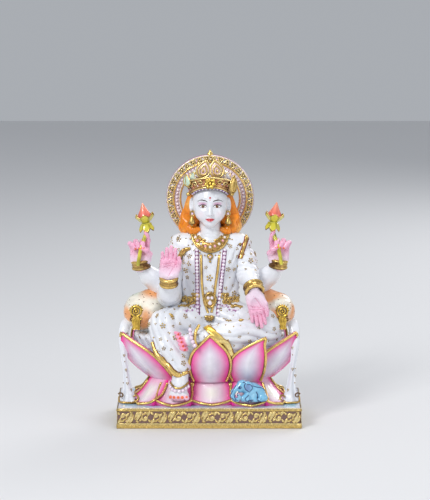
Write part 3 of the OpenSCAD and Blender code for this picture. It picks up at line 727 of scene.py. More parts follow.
def petal_point(t, s, root, tip, width, heading, lift=0.0, lean=0.0, bulge=7.0, cup=5.0):
    """A place on a standing petal: t from root to tip, s from -1 to 1 across."""
    root, tip = np.array(root, float), np.array(tip, float)
    a = math.radians(heading)
    side = np.array([math.cos(a), math.sin(a), 0])
    out = np.cross(side, tip - root)
    out /= np.linalg.norm(out)
    t, s, lift = (np.asarray(q, float)[..., None] for q in np.broadcast_arrays(t, s, lift))
    return (root + t * (tip - root) + (s * width / 2 * petal_share(t) - lean * (t - t ** 4)) * side
            + (bulge * np.sin(math.pi * t) - cup * (s * petal_share(t)) ** 2 + lift) * out)


def petal_paint(t, s, width):
    """Magenta at the rim and the root, fading to lilac and white along the middle."""
    inset = (1 - np.abs(s)) * width / 2 * petal_share(t)
    rim = np.exp(-(inset / (width * 0.225)) ** 2)
    root = np.exp(-(t / 0.16) ** 2) * 0.6
    point = step_between(t, 0.72, 1.0) * 0.85
    strength = np.clip(np.maximum(np.maximum(rim, root * np.abs(s)), point), 0, 1)
    streak = np.exp(-(s / 0.22) ** 2) * step_between(t, 0.1, 0.3) * (1 - step_between(t, 0.6, 0.85))
    base = mixed(LILAC, rgb(246, 244, 250), 0.2 + 0.6 * streak)
    tint = over(base, PINK, strength)
    return tint


def closed_shell(front, back, paint_front, paint_back):
    """A thin closed skin from two grids of points, with a colour for each point."""
    rows, cols = front.shape[:2]
    faces = sheet_faces(rows, cols)
    n = rows * cols
    grid = np.arange(n).reshape(rows, cols)
    ring = np.concatenate([grid[0, :-1], grid[:-1, -1], grid[-1, :0:-1], grid[:0:-1, 0]])
    after = np.roll(ring, -1)
    wall = np.stack([ring, ring + n, after + n, after], 1)
    verts = np.concatenate([front.reshape(-1, 3), back.reshape(-1, 3)])
    faces = outward(verts, np.concatenate([faces, faces[:, ::-1] + n, wall]))
    return verts, faces, np.concatenate([paint_front, paint_back])


def build_standing_petals():
    rows, cols = 40, 33
    seen = set()
    for name, node, root, tip, width, heading in STANDING:
        t, s = np.meshgrid(np.linspace(0, 1, rows), np.linspace(-1, 1, cols), indexing="ij")
        ridge = 0.5 * np.exp(-(s / 0.12) ** 2) * np.sin(math.pi * t)
        veins = 0.16 * np.sin(s * 22 + 2 * t) * np.sin(math.pi * t) * (1 - np.abs(s))
        lean = LEAN.get(name, 0.0)
        front = petal_point(t, s, root, tip, width, heading, ridge + veins, lean)
        back = petal_point(t, s, root, tip, width, heading, -3.0 + 0 * t, lean)
        paint = petal_paint(t.ravel(), s.ravel(), width)
        inner = mixed(LILAC, PINK, step_between(np.abs(s.ravel()), 0.5, 1.0) * 0.5)
        verts, faces, tint = closed_shell(front, back, paint, inner)
        piece(name, (verts, faces), M_PETAL, tint, [] if node in seen else [node])
        seen.add(node)
        edge_t = np.concatenate([np.linspace(0.02, 1, 46), np.linspace(1, 0.02, 46)[1:]])
        edge_s = np.concatenate([np.full(46, -1.0), np.full(45, 1.0)])
        if name in INNER_EDGE:
            start = 0.93
            keep = (edge_s == INNER_EDGE[name]) | (edge_t > start)
            edge_t, edge_s = edge_t[keep], edge_s[keep]
        fine = 1.62 + 0.16 * np.sin(edge_t * 31) * (1 - edge_t)
        path = petal_point(edge_t, edge_s * 0.985, root, tip, width, heading, 0.1, lean)
        rim = tube(path, fine, 10)
        line_path = petal_point(edge_t * 0.965, edge_s * 0.9, root, tip, width, heading, -0.05, lean)
        line = tube(line_path, 0.42, 6)
        piece(name + "_rim", rim, M_GOLD, GOLD)
        piece(name + "_line", line, M_LINE, rgb(138, 70, 44), slot="petal_paint")


# Each drooping petal: name, CAD node, root and tip in plan, width and heading
DROOPING = [("drooping_front", "drooping_petal_front", (2.4, -22), (2.4, -41.5), 46, 0),
            ("drooping_left", "drooping_petal_left", (-36, -20), (-39.8, -46), 39, -6),
            ("drooping_right", "drooping_petal_right", (41, -20), (45.4, -46), 40, 6),
            ("drooping_side_1", "drooping_petals_side", (-55, -13), (-75, -36), 33, -40),
            ("drooping_side_2", "drooping_petals_side", (56, -13), (77, -36), 33, 40),
            ("drooping_side_3", "drooping_petals_side", (-61, 2), (-84, 2), 26, -90),
            ("drooping_side_4", "drooping_petals_side", (61, 2), (85, 2), 26, 90),
            ("drooping_rear_1", "drooping_petals_rear", (56, 20), (74, 36), 28, 138),
            ("drooping_rear_2", "drooping_petals_rear", (30, 30), (36, 47), 34, 172),
            ("drooping_rear_3", "drooping_petals_rear", (0, 31), (0, 48), 28, 180),
            ("drooping_rear_4", "drooping_petals_rear", (-30, 30), (-36, 47), 34, 188),
            ("drooping_rear_5", "drooping_petals_rear", (-56, 20), (-74, 36), 28, 222)]


def droop_point(t, s, root, tip, width, heading, lift=0.0, point=5.4):
    """A place on a drooping petal: t from the crease out to its lower edge, s from -1 to 1 across."""
    root, tip = np.array(root, float), np.array(tip, float)
    a = math.radians(heading)
    side = np.array([math.cos(a), math.sin(a)])
    ahead = (tip - root) / np.linalg.norm(tip - root)
    t, s, lift = (np.asarray(q, float)[..., None] for q in np.broadcast_arrays(t, s, lift))
    share = 0.8 + 0.2 * np.sin(np.minimum(1, t / 0.6) * math.pi / 2)
    brace = (1 - np.abs(s)) ** 1.5 - 0.35 * np.sin(math.pi * np.abs(s)) - 0.45 * s ** 4
    plan = root + t * (tip - root) + s * width / 2 * share * side + point * t * brace * ahead
    corner = 4.6 * np.abs(s) ** 2.6 * step_between(t, 0.35, 1.0)
    high = TOP_Z + 2.1 + (CREASE_Z + 2 - TOP_Z) * (1 - t) ** 1.45 * (1 - 0.08 * s * s) + corner + lift
    return np.concatenate([plan, high], -1)


def build_drooping_petals():
    # the fluted wall that closes the gaps between neighbouring petals
    profile = [(0.01, TOP_Z + 0.2), (0.95, TOP_Z + 0.2), (0.98, 30), (1.0, 38), (1.01, 44),
               (1.04, CREASE_Z + 2.5), (0.01, CREASE_Z + 2.5)]
    v, f = lathe(profile, 192)
    a = np.arctan2(v[:, 1], v[:, 0])
    v[:, :2] = v[:, :2] * (57, 26.5) * (1 + 0.012 * np.cos(24 * a))[:, None] + (0, 4)
    high = step_between(v[:, 2], TOP_Z, CREASE_Z)
    piece("throne_wall", (v, f), M_PETAL, mixed(rgb(196, 40, 130), rgb(244, 150, 200), high),
          slot="petal_paint")

    rows, cols = 24, 31
    seen = set()
    for name, node, root, tip, width, heading in DROOPING:
        t, s = np.meshgrid(np.linspace(0, 1, rows), np.linspace(-1, 1, cols), indexing="ij")
        swell = 1.1 * np.sin(math.pi * t ** 0.8) * (1 - s * s) + 0.12 * np.sin(18 * s) * np.sin(math.pi * t)
        front = droop_point(t, s, root, tip, width, heading, swell)
        back = front.copy()
        back[..., 2] = TOP_Z - 0.4
        inset = (1 - np.abs(s.ravel())) * width / 2
        strength = np.exp(-(inset / (0.22 * width)) ** 2)
        strength = np.maximum(strength, 0.75 * step_between(t.ravel(), 0.8, 1.0))
        strength = np.maximum(strength, 0.35 * (1 - step_between(t.ravel(), 0.1, 0.4)))
        glow = np.exp(-(s.ravel() / 0.35) ** 2) * np.exp(-((t.ravel() - 0.5) / 0.25) ** 2)
        base = mixed(rgb(240, 226, 238), rgb(252, 248, 236), glow)
        tint = over(base, PINK, strength)
        verts, faces, tint = closed_shell(front, back, tint, tint)
        piece(name, (verts, faces), M_PETAL, tint, [] if node in seen else [node])
        seen.add(node)
        corner = np.linspace(0.12, 1, 20)
        edge_t = np.concatenate([corner, np.full(40, 1.0), corner[::-1]])
        edge_s = np.concatenate([np.full(20, -1.0), np.linspace(-1, 1, 42)[1:-1], np.full(20, 1.0)])
        path = droop_point(edge_t, edge_s, root, tip, width, heading, 0.2 - 0.5 * (edge_t > 0.99))
        piece(name + "_rim", tube(path, 1.4, 10), M_GOLD, GOLD)
        inner = droop_point(edge_t * 0.93, edge_s * 0.93, root, tip, width, heading, 0.35)
        piece(name + "_line", tube(inner, 0.4, 6), M_LINE, rgb(128, 40, 70), slot="petal_paint")


# ---------- draped legs ----------

FOLDED_LEG = [(24, 2, 112, 20), (61, -12, 108, 16), (22, -32, 101, 13), (-16, -37, 96, 9)]
HANGING_LEG = [(-24, 0, 112, 20), (-49, -22, 109, 16), (-43, -31, 87, 14.5), (-33, -36, 67, 12)]


def bowl(p):
    """Above 0 outside the ring of standing petals, in millimetres."""
    rise = np.clip((p[:, 2] - CREASE_Z) / 54, 0, 1.1)
    wide = 55 + 37 * rise ** 0.8 + 2 * np.sin(math.pi * rise)
    deep = 32 + 17 * rise + 6 * np.sin(math.pi * np.minimum(rise, 1))
    return (np.sqrt((p[:, 0] / wide) ** 2 + ((p[:, 1] - 4) / deep) ** 2) - 1) * deep


def pleats(p, across, size, depth, warp=0.8, seed=0):
    """Soft folds that run square to the direction across, spaced by size."""
    d = np.array(across, float)
    d /= np.linalg.norm(d)
    phase = (p @ d) / size * math.pi + warp * wobble(p, 26, seed)
    return depth * (np.abs(np.sin(phase)) ** 0.8 - 0.62)


def lower_field(p):
    hips = smooth_min(egg(p, (MID_X, 8, 106), (46, 20, 17)), egg(p, (MID_X, 5, 124), (34, 16, 14)), 6)
    folded = limb(p, FOLDED_LEG, 7)
    hanging = limb(p, HANGING_LEG, 7)
    seat = smooth_max(bowl(p) + 3.6, p[:, 2] - 98 + 0.05 * np.abs(p[:, 1]), 4)
    seat = smooth_max(seat, 52 - p[:, 2], 2)
    left = 1 - step_between(p[:, 0], -20, 8)
    low = step_between(-p[:, 1], 2, 12)
    folds_left = pleats(p, (0.9, -0.3, 0.5), 8.5, 1.9, 1.1, 1)
    folds_right = pleats(p, (0.3, -0.45, 0.85), 8.5, 1.6, 1.3, 2)
    folds = (folds_left * left + folds_right * (1 - left)) * (0.35 + 0.65 * low)
    cloth = smooth_min(smooth_min(hips, folded, 9), seat, 8) - folds
    cloth = smooth_max(cloth, bowl(p) + 2.6 - 14 * step_between(p[:, 2], 90, 104), 2)
    return smooth_min(cloth, hanging - folds_left, 7)


def cloth_with_fold_shade(verts, quads, strength=0.55):
    """White cloth, cooler and darker in its folds, as painted shade."""
    deep = hollows(verts, quads, 6)
    return mixed(WHITE, COOL_SHADE, step_between(deep, 0.05, 0.6) * strength + 0.05)


FLOWER_REACH = 1.85
MOTIF_SHARES = [0.3, 0.2, 0.2, 0.3]
MOTIF_TRIES = 6000


def motif(kind, seed):
    """A raised gold motif on a surface that faces +Z: a flower, a pair of leaves, a triple dot or a dot."""
    r = np.random.default_rng(seed)
    if kind == 0:
        places = [((FLOWER_REACH * math.cos(a), FLOWER_REACH * math.sin(a), 0.1), np.diag([0.82, 0.82, 0.5]))
                  for a in np.arange(5) * 2 * math.pi / 5 + r.uniform(0, 1)]
        places.append(((0, 0, 0.15), np.diag([0.62, 0.62, 0.55])))
    elif kind == 1:
        places = [((-0.8, 0.5, 0.1), np.diag([0.5, 1.25, 0.45])),
                  ((0.8, 0.5, 0.1), np.diag([0.5, 1.25, 0.45])),
                  ((0, -1.2, 0.1), np.diag([0.6, 0.6, 0.45]))]
    elif kind == 2:
        places = [((-0.9, 0, 0.1), np.diag([0.6, 0.6, 0.45])), ((0.9, 0.2, 0.1), np.diag([0.6, 0.6, 0.45])),
                  ((0, 1.3, 0.1), np.diag([0.6, 0.6, 0.45]))]
    else:
        places = [((0, 0, 0.1), np.diag([0.68, 0.68, 0.5]))]
    return copies(ball_mesh(4, 7), places)


def scatter(name, mesh, spacing, keep, seed):
    """Gold motifs spread over a surface where keep says so, at least spacing apart."""
    r = np.random.default_rng(seed)
    verts, quads = mesh
    normals = vertex_normals(verts, quads)
    allowed = np.flatnonzero(keep(verts, normals))
    r.shuffle(allowed)
    chosen = np.zeros((0, 3))
    parts = []
    for i in allowed[:MOTIF_TRIES]:
        kind = r.choice(4, p=MOTIF_SHARES)
        if len(chosen) and ((chosen - verts[i]) ** 2).sum(1).min() < spacing ** 2:
            continue
        chosen = np.concatenate([chosen, verts[i][None]])
        v, f = motif(kind, int(i))
        turn = facing(normals[i], r.normal(size=3))
        parts.append((v * r.uniform(0.85, 1.3) @ turn.T + verts[i] + normals[i] * 0.02, f))
    piece(name, join(*parts), M_GOLD,
          lambda v: mixed(rgb(206, 168, 74), GOLD_DARK, 0.15 + 0.3 * wobble(v, 2.5, 9)))


def build_lower_body():
    verts, quads = carve(lower_field, (-100, -56, 48), (100, 56, 146), 0.85)
    piece("draped_legs", (verts, quads), M_CLOTH, cloth_with_fold_shade(verts, quads), ["lower_body", "lotus_core"])
    tree = tree_of((verts, quads))

    def keep(v, n):
        outside = (bowl(v) < 2) | (v[:, 2] > 100) | (v[:, 1] < -36)
        return (n[:, 2] > -0.35) & (v[:, 2] > 62) & outside & (v[:, 2] < 128)
    scatter("leg_flowers", (verts, quads), 8.4, keep, 21)

    hem, _ = lay_near(tree, through([(-61, -30, 92), (-57, -38, 80), (-47, -46, 65), (-36, -50, 55),
                                     (-27, -50, 53.5),
                                     (-20, -45, 58)], 46), 0.6)
    swell = 1.9 + 1.2 * np.sin(np.linspace(0.2, math.pi, len(hem)))
    piece("hem_roll", tube(hem, swell, 12), M_GOLD, GOLD, ["hem_band"])
    line, _ = lay_near(tree, hem + (1.6, -1, 3.2), 0.1)
    piece("hem_line", tube(line, 0.42, 6), M_LINE, rgb(112, 52, 26))

    sash, out = lay_near(tree, through([(-8, -30, 119), (-3, -38, 113), (3, -44, 107), (10, -48, 100),
                                        (16.5, -50, 92), (22, -50, 84), (26.5, -47, 76)], 46), 0.5)
    for _ in range(8):
        sash[1:-1] = (sash[:-2] + 2 * sash[1:-1] + sash[2:]) / 4
        out[1:-1] = (out[:-2] + 2 * out[1:-1] + out[2:]) / 4
    out /= np.linalg.norm(out, axis=1)[:, None]
    sash += out * 0.5
    width = np.interp(np.linspace(0, 1, len(sash)), [0, 0.2, 0.7, 1], [3.2, 4.0, 4.6, 3.4])
    width = width + 0.3 * np.sin(np.linspace(0, 9, len(sash)))
    v, f = tube(sash, width, 14, flat=0.34, normals=out)
    # paler down its lower part: a painted highlight
    tint = mixed(rgb(250, 206, 84), GOLD_PALE, step_between(-v[:, 2], -112, -92) * 0.8)
    piece("sash", (v, f), M_GOLD, tint, ["sash_end"], gilt_shade=0.25)
    side = np.cross(np.gradient(sash, axis=0), out)
    side /= np.linalg.norm(side, axis=1)[:, None]
    seams = []
    for share in (-0.95, 0.28, 0.95):
        seam = sash + side * width[:, None] * share + out * math.sqrt(1 - share * share)
        seams.append(tube(seam, 0.38, 6))
    piece("sash_seams", join(*seams), M_LINE, rgb(132, 76, 30))
    return tree


# ---------- feet ----------

def build_feet():
    # hanging foot: instep down from the hem, toes forward over the drooping petal
    x0 = -33.4
    spread = np.array([-8.6, -4.6, -0.4, 3.8, 8.4])
    tips = [(x0 + spread[i] * 1.05, -51.8 + 0.9 * abs(i - 3.2), 33.6) for i in range(5)]
    roots = [(x0 + spread[i] * 0.8, -46, 35.4) for i in range(5)]
    thick = [2.0, 2.2, 2.3, 2.4, 3.1]

    def field(p):
        foot = limb(p, [(x0 + 2, -38, 56, 8.8), (x0 + 1, -40, 47, 8.8), (x0, -43, 39, 8.8)], 3)
        foot = smooth_min(foot, egg(p, (x0, -44.5, 35), (11.4, 8, 6.2)), 3)
        for root, tip, r in zip(roots, tips, thick):
            foot = smooth_min(foot, cone(p, (*root, r), (*tip, r * 0.95)), 0.7)
        return foot

    verts, quads = carve(field, (-50, -58, 24), (-16, -26, 64), 0.5)
    low = step_between(-verts[:, 2], -38.5, -34)
    nails = np.zeros(len(verts))
    for tip in tips:
        d = np.sqrt(((verts - np.array(tip) - (0, -1.2, 0.8)) ** 2).sum(1))
        nails = np.maximum(nails, 1 - step_between(d, 1.5, 2.1))
    tint = mixed(WHITE, PALM, low * 0.8)
    tint = over(tint, rgb(244, 110, 60), nails)
    piece("hanging_foot_cast", (verts, quads), M_SKIN, tint, ["hanging_foot"])
    tree = tree_of((verts, quads))
    a = np.linspace(-200, 20, 40)
    ring = np.stack([x0 + 12 * np.cos(np.radians(a)), -42 + 11 * np.sin(np.radians(a)),
                     47.0 + 2.2 * np.cos(np.radians(a * 2))], 1)
    chain, _ = lay_near(tree, ring, 0.6)
    piece("ankle_chain", tube(chain, 1.1, 8), M_GOLD,
          lambda v: mixed(GOLD, GOLD_DARK, 0.4 + 0.3 * wobble(v, 2)))
    pearls, _ = lay_near(tree, ring[4:-4:4] - (0, 0, 3.6), 1.0)
    piece("ankle_pearls", beads(pearls, 2.1), M_PEARL, PEARL, ["anklet"])

    # folded foot: only the toes show past the cloth, one above another, with pearls and a band beside them
    column = [(-35.0 + 1.7 * i, -48.8, 105.0 - 4.3 * i) for i in range(5)]
    thick = [1.9, 2.0, 2.1, 2.2, 2.7]

    def folded(p):
        foot = limb(p, [(-18, -42, 97, 6.5), (-24, -44, 96.5, 6.5)], 3)
        for (x, y, z), r in zip(column, thick):
            joints = [(x + 3, y + 3.6, z - 1, r), (x + 0.6, y, z, r), (x - 1.8, y - 0.3, z + 0.7, r * 0.94)]
            foot = smooth_min(foot, limb(p, joints, 0.5), 0.6)
        return foot

    verts, quads = carve(folded, (-42, -56, 78), (-8, -34, 112), 0.5)
    near = np.full(len(verts), 99.0)
    nails = np.zeros(len(verts))
    for (x, y, z), r in zip(column, thick):
        near = np.minimum(near, np.sqrt(((verts - (x, y, z)) ** 2).sum(1)) - r)
        from_nail = np.sqrt(((verts - (x + 1.7, y - r * 0.86, z - 0.9)) ** 2).sum(1))
        nails = np.maximum(nails, 1 - step_between(from_nail, 1.1, 1.9))
    # rose in the hollows between the toes: painted shade
    deep = step_between(hollows(verts, quads, 4), 0.03, 0.3)
    tint = mixed(mixed(rgb(250, 160, 190), WHITE, step_between(near, 2.0, 5.0)), PALM_DEEP, deep * 0.8)
    tint = over(tint, rgb(240, 92, 52), nails)
    piece("folded_foot_cast", (verts, quads), M_SKIN, tint, ["folded_foot"])
    beside = [(-20.0 + 0.3 * i * i, -51.0 - 0.2 * i, 109.4 - 4.3 * i) for i in range(5)]
    seat = tube(np.array(beside) + (0, 1.4, 0), 2.5, 8, flat=0.5)
    piece("folded_ankle_seat", seat, M_LINE, rgb(140, 70, 120), slot="pearl_paint")
    piece("folded_ankle_pearls", beads(np.array(beside) - (0.6, 1.4, 0), 2.35), M_PEARL, PEARL)
    strip = through([(-10.5, -45, 114), (-14.4, -48.6, 107), (-15.6, -50.6, 98.5), (-13.6, -50.6, 91.5)], 24)
    piece("folded_ankle_band", tube(strip, 1.5 + 0.4 * np.sin(np.linspace(0, math.pi, 24)), 10, flat=0.8),
          M_GOLD, GOLD)
    piece("folded_ankle_line", tube(strip + (-1.6, -0.6, 0), 0.4, 6), M_LINE, rgb(116, 56, 40))


# ---------- trunk ----------

def shaped(z, table):
    """A smooth value at each height from a short table of (height, value)."""
    table = np.array(table, float)
    return np.interp(z, table[:, 0], table[:, 1])


TRUNK_WIDTH = [(112, 33), (130, 31.5), (150, 30), (168, 31.5), (182, 33), (194, 33), (204, 26)]
TRUNK_DEPTH = [(112, 19), (130, 17), (150, 15.5), (168, 17), (182, 17.5), (194, 15), (204, 11)]


def trunk_field(p):
    x, y, z = p[:, 0] - MID_X, p[:, 1] - 5, p[:, 2]
    wide, deep = shaped(z, TRUNK_WIDTH), shaped(z, TRUNK_DEPTH)
    trunk = (np.sqrt((x / wide) ** 2 + (y / deep) ** 2) - 1) * deep
    trunk = smooth_max(trunk, z - 203, 7)
    trunk = smooth_max(trunk, 116 - z, 2)
    shoulders = smooth_min(egg(p, (MID_X - 27, 8, 193), (15, 12.5, 12)),
                           egg(p, (MID_X + 27, 8, 193), (15, 12.5, 12)), 12)
    trunk = smooth_min(trunk, shoulders, 8)
    for s in (-1, 1):
        trunk = smooth_min(trunk, egg(p, (MID_X + s * 14, -6.5, 177), (12, 9, 12)), 6)
        slope = [(MID_X + s * 8, 6, 206, 7), (MID_X + s * 22, 7, 201.5, 8), (MID_X + s * 34, 8, 195, 10)]
        trunk = smooth_min(trunk, limb(p, slope, 4), 5)
    trunk = smooth_min(trunk, cone(p, (MID_X, 4, 196, 16), (MID_X, 4, 206, 12)), 6)
    outer = step_between(np.abs(x), 10.5, 12)
    mirrored = np.stack([np.abs(x), p[:, 1], p[:, 2]], 1)
    side_folds = pleats(mirrored, (0.85, 0.35, -0.4), 8.0, 0.95, 1.7, 4) * step_between(np.abs(x), 15, 22)
    panel = pleats(p, (0.7, 0, 0.7), 6.0, 0.5, 1.0, 5) * (1 - step_between(np.abs(x), 7, 10))
    panel = panel * (1 - step_between(z, 172, 186))
    return trunk - outer * 0.8 - side_folds * (1 - step_between(z, 186, 200)) - panel


def build_trunk():
    verts, quads = carve(trunk_field, (-46, -24, 108), (48, 28, 212), 0.7)
    piece("draped_trunk", (verts, quads), M_CLOTH, cloth_with_fold_shade(verts, quads), ["upper_body"])

    def keep(v, n):
        x = np.abs(v[:, 0] - MID_X)
        side = (x > 17) | (v[:, 1] > 6)
        return side & (v[:, 2] > 136) & (v[:, 2] < 203) & ((v[:, 2] < 192) | (x > 22))
    scatter("trunk_flowers", (verts, quads), 7.6, keep, 31)
    return tree_of((verts, quads))


# ---------- arms and hands ----------

RAISED_WRIST = (-44, -37, 160)
LOWERED_WRIST = (48.5, -29, 152)
REAR_WRIST_LEFT = (-75.5, 5, 172)
REAR_WRIST_RIGHT = (76.5, 5, 173)
ARMS = {
    "raised_arm": [(-31, 8, 194, 12), (-41, 5, 170, 11.5), (-44, -1, 139, 12.5), (-44, -20, 146, 10.5),
                   (-44, -36, 160, 7.6)],
    "lowered_arm": [(32, 8, 194, 11), (39.4, 6, 177, 10.6), (42.6, -3, 161, 10.4), (48.2, -26, 153.6, 7.6)],
    "rear_arm_left": [(-30, 19, 182, 9), (-54, 17, 146, 11), (-66, 12, 158, 9.6), (-75.5, 5.5, 171, 7.2)],
    "rear_arm_right": [(32, 19, 182, 9), (55, 17, 147, 11), (67, 12, 159, 9.6), (76.5, 5.5, 172, 7.2)]}


def build_arms():
    trees = {}
    for name, balls in ARMS.items():
        sleeved = not name.startswith("rear")

        def field(p, balls=balls, sleeved=sleeved):
            arm = limb(p, balls, 7)
            if sleeved:
                upper = step_between(p[:, 2], 150, 166) * step_between(p[:, 1], -22, -8)
                arm = arm - pleats(p, (0.25, 0.5, 0.85), 5.6, 0.9, 1.3, 6) * upper - 0.7 * upper
            return arm
        points = np.array(balls)
        low = (points[:, :3] - points[:, 3:]).min(0) - 3
        high = (points[:, :3] + points[:, 3:]).max(0) + 3
        verts, quads = carve(field, low, high, 0.7)
        paint = M_CLOTH if sleeved else M_RESIN
        piece(name + "_cast", (verts, quads), paint, cloth_with_fold_shade(verts, quads, 0.5), [name], "painted_cloth")
        if sleeved:
            def keep(v, n):
                return (v[:, 2] > 168) & (n[:, 1] < 0.9)
            scatter(name + "_flowers", (verts, quads), 7.8, keep, 41 + len(trees))
        trees[name] = tree_of((verts, quads))
    return trees


def hand_paint_and_shade(verts, quads, length_share):
    """Pink towards the finger tips, lilac-white at the heel, with rose in the creases and hollows, and small
    specks; the rose is painted crease lines in the palm and painted shade between the fingers.
    """
    deep = step_between(hollows(verts, quads, 4), 0.02, 0.22)
    base = mixed(rgb(244, 222, 238), PALM, length_share * 1.05)
    # rose in the hollows: painted crease lines, and painted shade between the fingers
    base = over(base, PALM_DEEP, 0.85 * deep)
    specks = step_between(wobble(verts, 0.9, 13) * wobble(verts, 0.7, 14), 0.25, 0.5)
    specks = specks * step_between(length_share, 0.3, 0.6)
    return over(base, rgb(168, 30, 90), 0.75 * specks)


# An open hand, palm to -Y, fingers up, thumb at +X: wrist at the origin. Root and tip of each finger.
OPEN_FINGERS = [((-7.4, -0.6, 20), (-8.4, -2.0, 29.6), 2.35, 1.85),
                ((-3.1, -0.8, 21), (-3.8, -2.4, 34.4), 2.5, 2.0),
                ((1.3, -0.8, 21.4), (1.0, -2.6, 36.8), 2.55, 2.05),
                ((5.6, -0.7, 20.6), (5.8, -2.2, 34.2), 2.5, 2.0)]
# Each crease of the palm: where it starts and ends, in x and z
PALM_CREASES = [(-8.6, 17.6, 5.4, 19.4), (-8.8, 13.6, 3.6, 17.2), (5.2, 16.4, -1.4, 3.4)]
OPEN_THUMB = [(6, -1.5, 6, 4), (9.6, -3.6, 14, 3.1), (10.4, -5, 21, 2.5), (9.8, -5.4, 25.5, 2.1)]


def open_hand_field(p, flip=1):
    q = p * (flip, 1, 1)
    palm = slab(q, (-1, 0, 12.5), (9.6, 4.2, 12), 4.0)
    palm = smooth_min(palm, cone(q, (0, 0.4, -3, 6.6), (0, 0, 5, 7)), 4)
    palm = smooth_min(palm, egg(q, (5.6, -2.6, 9), (4.6, 3.6, 7)), 2.5)
    palm = smooth_min(palm, egg(q, (-6.4, -2.2, 9), (4, 3, 8)), 2.5)
    palm = smooth_max(palm, -egg(q, (-0.5, -6.4, 13.5), (5, 3.4, 7)), 2.5)
    fingers = None
    for root, tip, thick, thin in OPEN_FINGERS:
        f = cone(q, (*root, thick), (*tip, thin))
        fingers = f if fingers is None else smooth_min(fingers, f, 0.35)
    hand = smooth_min(palm, fingers, 1.3)
    hand = smooth_min(hand, limb(q, OPEN_THUMB, 1.5), 1.6)
    crease = np.min([cone(q * (1, 0, 1), (x0, 0, z0, 0), (x1, 0, z1, 0)) for x0, z0, x1, z1 in PALM_CREASES],
                    axis=0)
    front = step_between(-q[:, 1], 0.5, 2.5)
    return hand + 0.55 * front * np.exp(-(crease / 0.55) ** 2)


def build_open_hands():
    wrist = np.array(RAISED_WRIST, float) + (0, 0, 2.2)

    def raised(p):
        return open_hand_field(turned(p - wrist, (0, 0, 0), "y", -3))
    verts, quads = carve(raised, wrist + (-16, -11, -8), wrist + (16, 10, 45), 0.42)
    share = step_between(verts[:, 2] - wrist[2], 4, 22)
    piece("raised_hand_cast", (verts, quads), M_SKIN, hand_paint_and_shade(verts, quads, share), ["raised_hand"])

    wrist2 = np.array(LOWERED_WRIST, float) + (0.6, -3.8, -3.4)
    lean = 180 - 11

    def lowered(p):
        q = turned(p - wrist2, (0, 0, 0), "x", -1)
        return open_hand_field(turned(q, (0, 0, 0), "y", -lean) * (1.04, 1, 0.93), -1)
    verts, quads = carve(lowered, wrist2 + (-18, -18, -50), wrist2 + (30, 14, 12), 0.42)
    share = step_between(wrist2[2] - verts[:, 2], 2, 26)
    piece("lowered_hand_cast", (verts, quads), M_SKIN, hand_paint_and_shade(verts, quads, share), ["lowered_hand"])


# A hand closed round a stem, palm to -Y: wrist at the origin. Each finger's joints.
CLOSED_FINGERS = [[(-7.4, -0.5, 17, 2.5), (-9.6, -3.4, 22.6, 2.3), (-7.6, -8.0, 22, 2.1),
                   (-5.2, -9.4, 18.6, 1.9)],
                  [(-3.2, -0.6, 19, 2.6), (-4.4, -4.2, 25, 2.35), (-3.2, -8.8, 23.4, 2.15),
                   (-1.8, -9.8, 19.4, 1.9)],
                  [(1.2, -0.6, 19, 2.6), (1.4, -4.2, 25.4, 2.35), (1.8, -8.8, 23.6, 2.15),
                   (2.4, -9.8, 19.6, 1.9)],
                  [(5.4, -0.6, 18, 2.5), (6.6, -2.6, 25.6, 2.25), (5.8, -4.8, 31, 2.0),
                   (4.4, -6.2, 34.6, 1.75)]]
CLOSED_THUMB = [(5.6, -2, 6, 3.8), (7.6, -5.6, 12, 3.0), (5.2, -9.2, 16.6, 2.5), (1.6, -10.6, 18.4, 2.1)]


# The rear hands are this much bigger than the hand above
REAR_SCALE = (1.22, 1.08, 1.08)


def closed_hand_field(p, flip):
    q = p * (flip, 1, 1)
    hand = slab(q, (-0.8, 0, 11), (9.0, 4.4, 10.5), 4.2)
    hand = smooth_min(hand, cone(q, (0, 0.4, -3, 6.4), (0, 0, 5, 6.8)), 4)
    hand = smooth_min(hand, egg(q, (5, -3, 8), (4.4, 3.8, 6.5)), 2.5)
    for joints in CLOSED_FINGERS:
        hand = smooth_min(hand, limb(q, joints, 0.8), 0.6)
    return smooth_min(hand, limb(q, CLOSED_THUMB, 1.2), 0.9)


